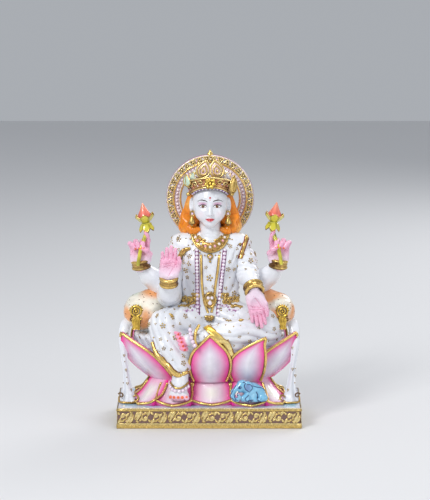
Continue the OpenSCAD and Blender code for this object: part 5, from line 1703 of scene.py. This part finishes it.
def build_halo():
    section = [(31.7, 1.0), (31.9, 0.1), (33, -0.2), (34.4, 0.3), (35.2, 0.8), (37, 0.9), (38.8, 0.8),
               (39.4, 0.2), (41.2, 0.0), (43, 0.5), (45.4, 0.5), (46.8, 0.1), (48.2, 0.5), (48.8, 1.6),
               (48.8, 4.6), (48, 5.8), (44, 5.9), (42.8, 5.2), (36.4, 5.2), (35.2, 5.9), (32.6, 5.9),
               (31.7, 5.0)]
    a = circle(144)
    rows = np.array([[halo_point(q, r, -deep) for r, deep in section] for q in a])
    faces = hoop_faces(len(a), len(section))
    r = np.tile([s[0] for s in section], len(a))
    deep = np.tile([s[1] for s in section], len(a))
    tint = np.tile(rgb(246, 236, 238), (len(r), 1))
    groove = (1 - step_between(np.abs(r - 37), 1.2, 2.0)) * (deep < 2)
    tint = over(tint, rgb(168, 108, 140), 0.7 * groove)
    edge = step_between(r, 48.1, 48.6)
    tint = over(tint, rgb(138, 34, 84), edge)
    piece("halo_cast", (rows.reshape(-1, 3), outward(rows.reshape(-1, 3), faces)), M_RESIN, tint,
          ["halo_ring"], "halo_white")
    lines = [tube(halo_point(a, 40.5, 0.2), 1.05, 8, closed=True),
             tube(halo_point(a, 33.3, 0.3), 0.85, 8, closed=True),
             tube(halo_point(a, 47.1, 0.1), 0.45, 6, closed=True),
             tube(halo_point(a, 40.0, -5.8), 1.0, 8, closed=True)]
    piece("halo_lines", join(*lines), M_GOLD, lambda v: mixed(GOLD, GOLD_PALE, 0.3 + 0.5 * wobble(v, 8, 30)))
    studs, stones, stone_tints = [], [], []
    count = 36
    for i in range(count):
        q = 2 * math.pi * (i + 0.5) / count
        out = 1 if i % 2 == 0 else -1
        u = np.array([math.cos(q), 0, -math.sin(q)])
        v3 = np.array([math.sin(q), 0, math.cos(q)]) * out
        outline = through([(-3.5, -2.6, 0), (0, -2.5, 0), (3.5, -2.6, 0), (1.7, 0.5, 0), (0, 3.3, 0),
                           (-1.7, 0.5, 0)], 24, True)[:, :2]
        stand = u, v3, (0, -1, 0)
        origin = halo_point(q, 44.3, 0.1)
        rim = lifted(outline, 0.35)
        studs.append(placed(tube(rim, 0.85, 7, closed=True), origin, *stand))
        studs.append(placed(beads([(0, 0, 0.7)], 1.3), origin - v3 * 0.5, *stand))
        between = 2 * math.pi * (i + 1) / count
        stone_tints.append(rgb(246, 206, 224) if i % 3 == 0 else rgb(250, 244, 248))
        stones.append(halo_point(between, 44.2, 0.0))
    piece("halo_triangles", join(*studs), M_GOLD, patina(0.02, 0.3, 2.4, 31, GOLD_PALE), ["halo_rim_studs"])
    jewels("halo_stones", beads(stones, 1.15, 5, 8), stone_tints, slot="halo_white")
    ring = circle(58)
    tints = mixed(rgb(252, 242, 252), rgb(236, 204, 232), np.tile([0.0, 0.35], 29))
    jewels("halo_pearl_row", beads(halo_point(ring, 36.9, 0.1), 1.62), tints, ["halo_pearls"], "pearl_paint")
    profile = [(0.01, -2.2), (3.6, -2.0), (4.4, -1.0), (3.6, -0.2), (3.2, 0.4), (3.7, 1.4), (3.4, 2.6),
               (2.2, 4.4), (1.1, 5.8), (0.9, 6.4), (0.01, 7.4)]
    v, f = lathe(profile, 28)
    tip = halo_point(0, 47.0, -3.0)
    parts = [(v * (1, 0.8, 1) + tip, f)]
    v, f = lathe([(0.01, -2), (1.6, -1.2), (1.9, 0), (1.0, 1.6), (0.01, 2.4)], 16)
    parts.append((v + halo_point(0, 41.4, 1.0), f))
    v, f, _ = join(*parts)
    # darker towards its foot: painted shade
    piece("halo_finial_gilt", (v, f), M_GOLD,
          mixed(GOLD, GOLD_DARK, step_between(-v[:, 2], -291, -287) * 0.5), ["halo_finial"])


# ---------- jewellery on the trunk ----------

def build_jewels(tree, legs_tree):
    # collar: two corded bands with stones between them, and drops below
    a = circle(80)

    def collar(share, q):
        low = np.maximum(np.cos(q), 0) ** 1.3
        side_z, low_z = 208 - 1.5 * share, 200.5 - 11.5 * share
        wide, deep = 14.2 + 6.6 * share, 12.5 + 4.5 * share
        high = side_z + (low_z - side_z) * low
        return np.stack([MID_X + wide * np.sin(q), 3 - deep * np.cos(q), high], -1)
    inner, _ = lay_near(tree, collar(0, a), 0.6)
    outer, _ = lay_near(tree, collar(1, a), 0.6)
    plate = np.array([lay_near(tree, collar(q, a), 0.45)[0] for q in np.linspace(0, 1, 7)])
    plate = np.concatenate([plate, plate[:, :1]], 1)
    count = plate.shape[0] * plate.shape[1]
    verts, faces, tint = closed_shell(plate, plate + (0, 1.2, -0.3), np.tile(rgb(228, 176, 104), (count, 1)),
                                      np.tile(rgb(140, 80, 60), (count, 1)))
    piece("collar_plate", (verts, faces), M_OLD_GOLD, tint, slot="bright_gilt")
    twist = 1.15 + 0.16 * np.sin(a * 30)
    gold = [tube(inner, twist, 8, closed=True), tube(outer, twist * 1.1, 8, closed=True)]
    cells = circle(22)
    middle, normals = lay_near(tree, collar(0.5, cells), 0.9)
    for p, n in zip(middle, normals):
        turn = facing(n)
        ring = [p + turn @ (2.2 * math.cos(q), 2.2 * math.sin(q), 0.2) for q in circle(14)]
        gold.append(tube(ring, 0.6, 6, closed=True))
    for share in (0.2, 0.8):
        small, _ = lay_near(tree, collar(share, cells + math.pi / 22), 0.9)
        gold.append(beads(small, 0.85, 5, 8))
    below = np.linspace(-1.5, 1.5, 13)
    drops, _ = lay_near(tree, collar(1.33, below), 0.7)
    gold.append(beads(drops, 0.95))
    hang, _ = lay_on(tree, [(MID_X, -16.6, 183.6)], lift=1.2)
    shape = teardrop(6.0, 7.6, 0, 24)
    gold.append(placed(pad(shape * (1, -1), 1.8, 1.2), hang[0], *UPRIGHT))
    gold.append(beads(hang + [(0, -0.2, -5.2)], 1.3))
    piece("collar_gilt", join(*gold), M_GOLD, patina(0.1, 0.4, 2.0, 33), ["necklace"])
    tints = [rgb(244, 176, 190) if k % 2 else rgb(250, 242, 246) for k in range(len(middle))]
    jewels("collar_stones", beads(middle, 1.65), tints)
    piece("pendant_stone", beads(hang + [(0, -1.6, 0.4)], 1.4), M_PEARL, PEARL, slot="bright_gilt")

    # pearl strands and gilt strips down the front
    pearls, seats, strips, seams = [], [], [], []
    for s in (-1, 1):
        top_x, low_x = (-13.6, -12.6) if s < 0 else (17.2, 9.6)
        rail = through([(top_x, -30, 191), ((top_x * 2 + low_x) / 3, -30, 168),
                        ((top_x + 2 * low_x) / 3, -30, 145), (low_x, -30, 119)], 19)
        pearls.append(lay_on(tree, rail, lift=0.55)[0])
        seat, out = lay_on(tree, rail, lift=-0.1)
        seats.append(tube(seat, 2.5, 8, flat=0.34, normals=out))
        x = (-9.2, -8.6, -7.8, -5.4, -1.4) if s < 0 else (11.4, 9.4, 6.8, 5.2, 2.4)
        path, out = lay_on(tree, through([(q, -30, z) for q, z in zip(x, (186, 168, 150, 133, 121.5))], 40),
                           lift=0.5)
        strips.append(tube(path, 1.25, 10, flat=0.7, normals=out))
        side = np.array([s * -1.25, 0, 0])
        seam, _ = lay_on(tree, path + side + (0, -10, 0), lift=0.15)
        seams.append(tube(seam, 0.4, 6))
    piece("strand_pearls", beads(np.concatenate(pearls), 1.98), M_PEARL,
          lambda v: mixed(rgb(252, 246, 252), rgb(226, 200, 232), 0.3 + 0.4 * wobble(v, 5, 35)),
          ["pearl_strands"])
    piece("strand_seats", join(*seats), M_LINE, rgb(128, 62, 116), slot="pearl_paint")
    piece("front_strip_gilt", join(*strips), M_GOLD, GOLD, ["front_strips"])
    piece("front_strip_seams", join(*seams), M_LINE, rgb(120, 66, 40))

    # motifs between the strips
    spots = [((0.4, 160), 1.5), ((-3.6, 172), 0.8), ((4.8, 150), 0.9), ((-3.8, 148), 0.8), ((1.6, 141), 0.7)]
    parts = []
    for (x, z), scale in spots:
        at, out = lay_on(tree, [(x, -30, z)], lift=0.05)
        m, f = motif(0, int(x * 10 + z))
        turn = facing(out[0])
        parts.append((m * scale @ turn.T + at[0], f))
    piece("front_panel_flowers", join(*parts), M_GOLD, mixed(GOLD, GOLD_DARK, 0.3))

    # girdle: leafy curls to both sides, with pearls below
    tree = tree_of_pair(tree, legs_tree)
    curls, leaves, beading, tints = [], [], [], []
    for s in (-1, 1):
        for k in range(5):
            x = MID_X + s * (14.6 + 4.2 * k)
            z = 139.5 - 1.5 * k + 1.4 * math.sin(k * 2.2)
            for start, dx, dz, size, hand in ((0.6, 0, 0, 3.3, s), (3.4, 1.6 * s, -5.6, 2.7, -s)):
                uv = curl(1.25, size, 20, start, hand)
                seat, _ = lay_on(tree, [(x + dx, -40, z + dz)])
                path, out = lay_near(tree, [(x + dx + u, seat[0][1] - 1.5, z + dz + v) for u, v in uv], 0.5)
                curls.append(tube(path, np.linspace(1.25, 0.6, 20), 7, flat=0.8, normals=out))
            at, out = lay_on(tree, [(x + 2.4 * s, -40, z - 2.4)], lift=0.4)
            turn = facing(out[0], (s * 0.8, 0, 0.6))
            mesh = pad(teardrop(3.6, 6.4, 0, 16), 1.2, 0.5, 4)
            leaves.append((mesh[0] @ turn.T + at[0], mesh[1]))
            for dx, dz in ((-1.6, -10.4), (0.9, -11.6), (3.2, -10.6)):
                if k < 4:
                    beading.append(lay_on(tree, [(x + dx, -40, z + dz)], lift=0.4)[0][0])
                    tints.append(rgb(246, 226, 244) if len(tints) % 2 else rgb(176, 120, 170))
    piece("girdle_curls", join(*curls, *leaves), M_GOLD, patina(0.08, 0.4, 2.4, 37), ["belt"], gilt_shade=0.3)
    jewels("girdle_pearls", beads(beading, 1.15, 5, 8), tints)

    # medallion: an oval ring with two pearls over a drop, and a gilt cluster under it
    c = lay_on(tree, [(MID_X, -40, 135.5)], lift=1.0)[0][0]
    oval = [(c[0] + 5.8 * math.cos(q), c[1] - 0.4, c[2] + 7.8 * math.sin(q)) for q in circle(36)]
    gold = [tube(oval, 1.25, 9, closed=True),
            placed(pad([(5.4 * math.cos(q), 7.4 * math.sin(q)) for q in circle(32)], 0.6, 2.2), c, *UPRIGHT)]
    for k in range(18):
        q = 2 * math.pi * k / 18
        gold.append(beads([(c[0] + 7.4 * math.cos(q), c[1] + 0.2, c[2] + 9.4 * math.sin(q))], 0.75, 4, 7))
    low, _ = lay_on(tree, [(MID_X - 1, -40, 117)], lift=0.9)
    for k in range(7):
        q = math.pi * (k / 6 - 1)
        shape = teardrop(3.6, 6.2, 0, 16) @ np.array([[math.sin(q), -math.cos(q)],
                                                      [math.cos(q), math.sin(q)]])
        shape += np.array([math.cos(q), math.sin(q)]) * 3.0
        gold.append(placed(pad(shape, 1.4, 1.0, 4), low[0], *UPRIGHT))
    gold.append(beads(low + [(0, -1, 0)], 2.0))
    piece("medallion_gilt", join(*gold), M_GOLD, patina(0.15, 0.5, 2.2, 39), ["belt_medallion"])
    stones = beads([c + (-2.1, -1.0, 2.6), c + (2.1, -1.0, 2.6)], 1.9)
    drop = placed(pad(teardrop(4.2, 6.0, 0, 20), 1.6, 0.4), c + (0, -0.6, -2.8), *UPRIGHT)
    piece("medallion_stones", join(stones, drop), M_PEARL, rgb(250, 240, 248), slot="bright_gilt")


def tree_of_pair(first, second):
    """A tree that answers with whichever of two surfaces a ray meets first."""
    class Pair:
        def ray_cast(self, start, ahead):
            hits = [h for h in (first.ray_cast(start, ahead), second.ray_cast(start, ahead))
                    if h[0] is not None]
            return min(hits, key=lambda h: h[3]) if hits else (None, None, None, None)

        def find_nearest(self, point):
            return min((first.find_nearest(point), second.find_nearest(point)), key=lambda h: h[3])
    return Pair()


def build_armlets(trunk, arms):
    body = tree_of_pair(trunk, arms["raised_arm"])
    path, out = lay_on(body, through([(-33.5, -40, 176), (-32.5, -40, 182), (-29.5, -40, 187.5),
                                      (-25.5, -40, 191), (-20.5, -40, 192.5)], 30), lift=0.6)
    wide = 1.2 + 1.9 * np.sin(np.linspace(0.25, math.pi - 0.1, 30))
    left = tube(path, wide, 12, flat=0.45, normals=out)
    body = tree_of_pair(trunk, arms["lowered_arm"])
    path, out = lay_on(body, through([(41.5, -40, 205), (40.0, -40, 199), (36.8, -40, 190), (34.6, -40, 181)],
                                     26), lift=0.6)
    right = tube(path, 1.9, 12, flat=0.45, normals=out)
    piece("armlet_gilt", join(left, right), M_GOLD, patina(0.2, 0.4, 3, 41), ["armlets"])
    lines = []
    for s in (-1, 1):
        edge, _ = lay_on(body, path + (s * 2.3, -20, s * 0.5), lift=0.2)
        lines.append(tube(edge, 0.5, 6))
    piece("armlet_lines", join(*lines), M_LINE, rgb(134, 28, 42))


# ---------- bolsters, scarf ends and elephant ----------

BOLSTER_SPECKS = 46
SPECK_SPACING = 4.5


def build_bolsters():
    for s, label in ((-1, "left"), (1, "right")):
        def field(p, s=s):
            body = smooth_min(egg(p, (s * 74, 6, 120), (21.5, 23, 21)),
                              egg(p, (s * 62, 18, 125), (16, 18, 19)), 8)
            seam = np.abs(np.hypot(p[:, 0] - s * 80, p[:, 2] - 121) - 15)
            gather = np.sin(np.arctan2(p[:, 2] - 121, p[:, 0] - s * 80)
                            * 17) * np.exp(-((p[:, 1] + 15) / 7) ** 2)
            return body + 0.5 * np.exp(-(seam / 1.1) ** 2) + 0.28 * gather
        low_x, high_x = (38, 101) if s > 0 else (-101, -38)
        verts, quads = carve(field, (low_x, -24, 96), (high_x, 40, 148), 0.85)
        warm = np.exp(-(((verts[:, 0] - s * 64) / 15) ** 2 + ((verts[:, 2] - 141) / 8) ** 2))
        warm = warm + np.exp(-(((verts[:, 0] - s * 93) / 9) ** 2 + ((verts[:, 2] - 116) / 12) ** 2))
        warm = warm + 0.8 * np.exp(-(((verts[:, 0] - s * 72) / 7) ** 2 + ((verts[:, 2] - 118) / 12) ** 2))
        patch = step_between(warm + 0.4 * wobble(verts, 12, 45 + s), 0.15, 0.85)
        cream = mixed(rgb(246, 240, 224), rgb(222, 236, 214),
                      step_between(wobble(verts, 22, 47), 0, 0.7) * 0.7)
        tint = over(cream, rgb(246, 152, 62), 0.85 * patch)
        low = step_between(112 - verts[:, 2], 0, 8) * step_between(np.abs(verts[:, 0]), 62, 78)
        tint = over(tint, rgb(250, 170, 96), 0.6 * low)
        piece(f"bolster_{label}_cast", (verts, quads), M_CUSHION, tint, [f"bolster_{label}"])
        r = np.random.default_rng(50 + s)
        normals = vertex_normals(verts, quads)
        specks = []
        for i in r.permutation(len(verts)):
            if len(specks) >= BOLSTER_SPECKS:
                break
            if normals[i, 2] > -0.3 and all(np.linalg.norm(verts[i] - q[0]) > SPECK_SPACING for q in specks):
                specks.append((verts[i], facing(normals[i], r.normal(size=3))
                               @ np.diag([0.8 + 0.5 * r.random(), 0.5, 0.3])))
        speck_brown = mixed(rgb(150, 100, 30), rgb(96, 60, 20), 0.5)
        piece(f"bolster_{label}_specks", copies(ball_mesh(4, 8), specks), M_OLD_GOLD, speck_brown,
              slot="bright_gilt")

    parts = []
    for s in (-1, 1):
        c = np.array([s * 80.5, -16.2, 122.0])
        for radius, thick in ((5.6, 1.3), (2.9, 1.0)):
            ring = [c + (radius * math.cos(q), -0.4, radius * math.sin(q) + 1.5) for q in circle(30)]
            parts.append(tube(ring, thick, 9, closed=True))
        parts.append(beads([c + (0, -0.8, 1.5)], 1.6))
        for k in range(9):
            q = math.pi * (k + 0.5) / 9
            parts.append(beads([c + (7.2 * math.cos(q), 0.2, 7.2 * math.sin(q) + 1.5)], 1.0, 4, 7))
        for k in range(5):
            spread = (k - 2) / 2
            strand = through([(spread * 2.2, -0.6, -4), (spread * 3.6, -1.4, -9),
                              (spread * 3.0 - s * 0.4, -1.2, -14),
                              (spread * 3.4, -1, -18.4)], 16) + c
            parts.append(tube(strand, 1.05 + 0.35 * np.sin(np.linspace(0, math.pi, 16)), 7))
        uv = curl(1.3, 3.4, 20, 1.2, s)
        parts.append(tube([c + (s * 4.8 + u, -0.4, v - 7) for u, v in uv], np.linspace(1.2, 0.5, 20), 8))
        uv = curl(1.2, 2.6, 20, 2.0, -s)
        parts.append(tube([c + (-s * 4.8 + u, -0.4, v - 6) for u, v in uv], np.linspace(1.0, 0.5, 20), 8))
    piece("tassels_gilt", join(*parts), M_GOLD, patina(0.04, 0.36, 2.2, 51, rgb(252, 212, 96)),
          ["bolster_tassels"])


def build_scarf_ends():
    for s, label in ((-1, "left"), (1, "right")):
        rows, cols = 60, 25
        t, u = np.meshgrid(np.linspace(0, 1, rows), np.linspace(-1, 1, cols), indexing="ij")
        # outer and inner edge of the hanging cloth, from the bolster to the plinth
        spine = through([(86, 2, 116), (92.5, -7, 107), (94.6, -14, 92), (94, -17, 76), (92, -19.5, 60),
                         (90.4, -23, 44), (89.5, -26, 31), (89.4, -27.5, 24.5)], rows)
        half = np.interp(np.linspace(0, 1, rows), [0, 0.12, 0.3, 0.45, 0.6, 0.78, 0.9, 1],
                         [5, 6.2, 5.2, 3.6, 3.4, 5.6, 8.6, 10.2])
        wave = 0.9 * np.sin(u * 5.2 + 3 * t) * step_between(t, 0.2, 0.7)
        wave = wave + 1.6 * np.sin(u * 7) * step_between(t, 0.7, 1)
        x = spine[:, None, 0] + half[:, None] * u
        y = spine[:, None, 1] - 2.6 * (1 - u * u) - wave - 3.4 * step_between(t, 0.82, 1) * (1 - u * u)
        z = np.repeat(spine[:, 2:], cols, 1)
        front = np.stack([s * x, y, z], -1)
        back = np.stack([s * (spine[:, None, 0] + half[:, None] * u * 0.86), spine[:, None, 1] + 3.2 + 0 * u,
                         z], -1)
        # cooler and darker in the hollows of the waves: painted shade
        hollow = step_between(-wave, 0.2, 1.4)
        tint = mixed(WHITE, COOL_SHADE, hollow.ravel() * 0.6 + 0.05)
        verts, faces, paint = closed_shell(front, back, tint, tint)
        piece(f"scarf_end_{label}", (verts, faces), M_CLOTH, paint, [f"scarf_tail_{label}"])
        tree = tree_of((verts, faces))
        # gilt hem, turned up in a curl at each side
        hem = through([(s * 99.5, -26, 29.5), (s * 98.8, -30.5, 25.2), (s * 93, -33.4, 24.6),
                       (s * 86, -33.4, 24.4), (s * 80.2, -31, 25.2), (s * 78.2, -29.6, 29.2),
                       (s * 80.6, -30, 32.4), (s * 83.4, -31.2, 30.4)], 50)
        gold = [tube(hem, 0.95 + 0.35 * np.sin(np.linspace(0, math.pi, 50)), 9)]
        uv = curl(1.1, 3.2, 20, 0.5, s)
        gold.append(tube([(s * 97.2 + a, -30.5, 32.0 + b) for a, b in uv], np.linspace(0.9, 0.5, 20), 8))
        r = np.random.default_rng(60 + s)
        for k in range(9):
            at, out = lay_on(tree, [(s * (90 + 5 * r.uniform(-1, 1)), -60, 98 - 7.6 * k)], lift=0.05)
            m, f = motif(3 if k % 2 else 1, k)
            gold.append((m @ facing(out[0]).T + at[0], f))
        piece(f"scarf_hem_{label}", join(*gold), M_GOLD, patina(0.25, 0.4, 3, 53))


def elephant_field(p):
    p = (p - (44, -45, 28.6)) / 0.93 + (44, -45, 24.6)
    body = limb(p, [(55, -40, 35, 7.2), (48, -40, 37, 8.0), (41, -41, 39, 7.0)], 5)
    head = smooth_min(egg(p, (35.5, -44.5, 43), (7.0, 5.8, 7.2)), egg(p, (31.6, -46.5, 40), (4.6, 4.2, 5)), 3)
    trunk = limb(p, [(29.6, -47, 40.4, 4.0), (25.4, -48.6, 36.8, 3.2), (24.0, -49.8, 32, 2.7),
                     (26.2, -50.8, 28.2, 2.4), (30.2, -51.4, 27.6, 2.1), (32.6, -51.6, 30.4, 1.9),
                     (31.0, -51.8, 33.4, 1.7)], 1.2)
    whole = smooth_min(smooth_min(body, head, 2.6), trunk, 0.9)
    ear = smooth_max(egg(p, (42, -47.6, 42.4), (6.2, 2.2, 6.8)), -egg(p, (42.4, -50.4, 42), (4.4, 1.8, 4.8)),
                     0.8)
    whole = smooth_min(whole, ear, 0.6)
    whole = smooth_min(whole, limb(p, [(57, -42, 33, 6.4), (61.5, -46, 28.8, 3.6), (56.6, -49.4, 27.4, 2.8)],
                                   3), 1.2)
    whole = smooth_min(whole, limb(p, [(44, -45, 33, 5.0), (37, -48.6, 28.6, 3.2), (42, -50.8, 27.4, 2.7)],
                                   2.5), 0.8)
    whole = smooth_min(whole, limb(p, [(50, -45, 32, 4.6), (48.4, -49.8, 28.4, 3.0), (52, -51, 27.2, 2.5)],
                                   2), 0.8)
    whole = smooth_min(whole, limb(p, [(61, -40, 37, 1.5), (63, -43, 32, 1.1), (61, -47, 30.4, 1.2)], 0.6),
                       0.8)
    wrinkle = 0.3 * np.abs(np.sin(p[:, 2] * 1.5 + 0.6 * p[:, 0])) * (p[:, 0] < 30)
    return smooth_max(whole + wrinkle, 24.4 - p[:, 2], 1)


def build_elephant():
    verts, quads = carve(elephant_field, (18, -58, 22), (70, -28, 56), 0.5)
    # darker blue in the hollows: painted shade
    deep = step_between(hollows(verts, quads, 5), 0.04, 0.42)
    pale, dark = rgb(126, 190, 224), rgb(38, 62, 130)
    tint = mixed(pale, dark, deep * 0.95)
    tint = over(tint, rgb(172, 218, 240), step_between(wobble(verts, 8, 55), 0.1, 0.8) * 0.35)
    from_ear = np.hypot((verts[:, 0] - 42.4) / 4.4, (verts[:, 2] - 44.6) / 4.8)
    inner_ear = (1 - step_between(from_ear, 0.5, 1.0)) * (verts[:, 1] < -45)
    tint = over(tint, rgb(120, 110, 180), 0.5 * inner_ear)
    piece("elephant_cast", (verts, quads), M_BLUE, tint, ["elephant"])
    tree = tree_of((verts, quads))
    eye, _ = lay_on(tree, [(33.4, -70, 45.0)], lift=0.1)
    parts = [beads(eye, 0.9)]
    ring, _ = lay_on(tree, [(33.4 + 1.9 * math.cos(q), -70, 45.0 + 1.3 * math.sin(q)) for q in circle(16)],
                     lift=0.05)
    parts.append(tube(ring, 0.3, 6, closed=True))
    for path in ([(36.6, -70, 50.6), (39.6, -70, 49.6), (38.4, -70, 46.4), (40.2, -70, 42.4),
                  (44.6, -70, 39.4)],
                 [(41.4, -70, 48.0), (45.6, -70, 47.6), (47.2, -70, 43.6), (44.8, -70, 40.4)],
                 [(29.4, -70, 46.6), (25.2, -70, 40.4), (23.6, -70, 34.6), (26.4, -70, 29.6), (31, -70, 29)],
                 [(32.2, -70, 40.6), (29.0, -70, 37.4), (27.8, -70, 34.2), (29.6, -70, 32.0)],
                 [(51.4, -70, 40), (53.2, -70, 36), (52.4, -70, 32), (56.4, -70, 29.4)],
                 [(47.4, -70, 46.4), (53, -70, 44.4), (58.6, -70, 42.6), (62.4, -70, 38)],
                 [(43.4, -70, 36.4), (39.4, -70, 32.4), (42.6, -70, 29.6), (47, -70, 29.2)]):
        parts.append(tube(lay_on(tree, through(path, 26))[0], 0.42, 6))
    piece("elephant_lines", join(*parts), M_LINE, rgb(46, 36, 104), slot="blue_glaze")
    tusk = tube(through([(31.2, -50.6, 40.4), (29.4, -52.8, 38.4), (30.0, -54.2, 36.4)], 10),
                np.linspace(1.0, 0.4, 10), 8)
    piece("elephant_tusk", tusk, M_PEARL, rgb(250, 246, 236), slot="blue_glaze")


def build_dowels():
    for node, radius, ends in (("seat_dowels", 2.5, [((-34, 4, 8), (-34, 4, 38)), ((34, 4, 8), (34, 4, 38))]),
                               ("halo_dowels", 2.0, [((MID_X - 24, 19, 206), (MID_X - 24, 32, 206)),
                                                     ((MID_X + 24, 19, 206), (MID_X + 24, 32, 206))])):
        parts = []
        for a, b in ends:
            share = np.array([0, 0.001, 0.04, 0.96, 0.999, 1])
            path = np.array(a) + share[:, None] * (np.array(b, float) - np.array(a))
            thick = radius * np.array([0.82, 0.9, 1, 1, 0.9, 0.82])
            parts.append(tube(path, thick, 20))
        piece(node + "_pins", join(*parts), M_STEEL, rgb(170, 172, 176), [node])


# ---------- camera, light and floor ----------

def build_stage():
    floor = bpy.data.meshes.new("floor")
    floor.from_pydata([(-3, -3, 0), (3, -3, 0), (3, 3, 0), (-3, 3, 0)], [], [(0, 1, 2, 3)])
    ob = bpy.data.objects.new("floor", floor)
    bpy.context.scene.collection.objects.link(ob)
    m = bpy.data.materials.new("floor")
    m.use_nodes = True
    m.node_tree.nodes["Principled BSDF"].inputs["Base Color"].default_value = (0.72, 0.72, 0.73, 1)
    m.node_tree.nodes["Principled BSDF"].inputs["Roughness"].default_value = 0.6
    floor.materials.append(m)

    def soft_box(name, place, aim, size, power, colour=(1, 1, 1)):
        light = bpy.data.lights.new(name, "AREA")
        light.size = size
        light.energy = power
        light.color = colour
        lamp = bpy.data.objects.new(name, light)
        lamp.location = place
        lamp.rotation_euler = (Vector(aim) - Vector(place)).to_track_quat("-Z", "Y").to_euler()
        bpy.context.scene.collection.objects.link(lamp)

    aim = (0, 0, 0.15)
    soft_box("key", (-0.9, -1.3, 1.35), aim, 0.55, 20)
    soft_box("fill", (1.4, -1.1, 0.6), aim, 0.9, 5)
    soft_box("top", (0.1, 0.1, 1.6), aim, 0.6, 7)
    soft_box("back", (0.9, 1.4, 1.0), aim, 0.8, 9)
    world = bpy.data.worlds.new("studio")
    bpy.context.scene.world = world
    world.use_nodes = True
    world.node_tree.nodes["Background"].inputs[0].default_value = (0.80, 0.84, 0.9, 1)
    world.node_tree.nodes["Background"].inputs[1].default_value = 0.5


CAMERA_DISTANCE = 3.0
CAMERA_HEIGHT_ANGLE = 9.0
FRAME_HEIGHT = 500
MM_A_PIXEL = 1.087
AIM = (0.0064, -0.045, 0.1965)


def build_camera():
    data = bpy.data.cameras.new("camera")
    camera = bpy.data.objects.new("camera", data)
    bpy.context.scene.collection.objects.link(camera)
    bpy.context.scene.camera = camera
    rise = math.radians(CAMERA_HEIGHT_ANGLE)
    away = Vector((0, -math.cos(rise), math.sin(rise)))
    camera.location = Vector(AIM) + away * CAMERA_DISTANCE
    camera.rotation_euler = (-away).to_track_quat("-Z", "Y").to_euler()
    data.sensor_width = 36
    data.lens = 36 * CAMERA_DISTANCE / (FRAME_HEIGHT * MM_A_PIXEL * MM)
    data.clip_start, data.clip_end = 0.05, 20


bpy.context.scene.view_settings.view_transform = "Standard"
build_stage()
build_camera()
build_plinth()
build_standing_petals()
build_drooping_petals()
LEGS = build_lower_body()
build_feet()
TRUNK = build_trunk()
ARM_TREES = build_arms()
build_open_hands()
build_lotus_hand(1, REAR_WRIST_LEFT, "left")
build_lotus_hand(-1, REAR_WRIST_RIGHT, "right")
build_bangles()
HEAD_TREE = build_head()
build_hair()
build_crown()
build_halo()
build_jewels(tree_of_pair(TRUNK, HEAD_TREE), LEGS)
build_armlets(TRUNK, ARM_TREES)
build_bolsters()
build_scarf_ends()
build_elephant()
build_dowels()
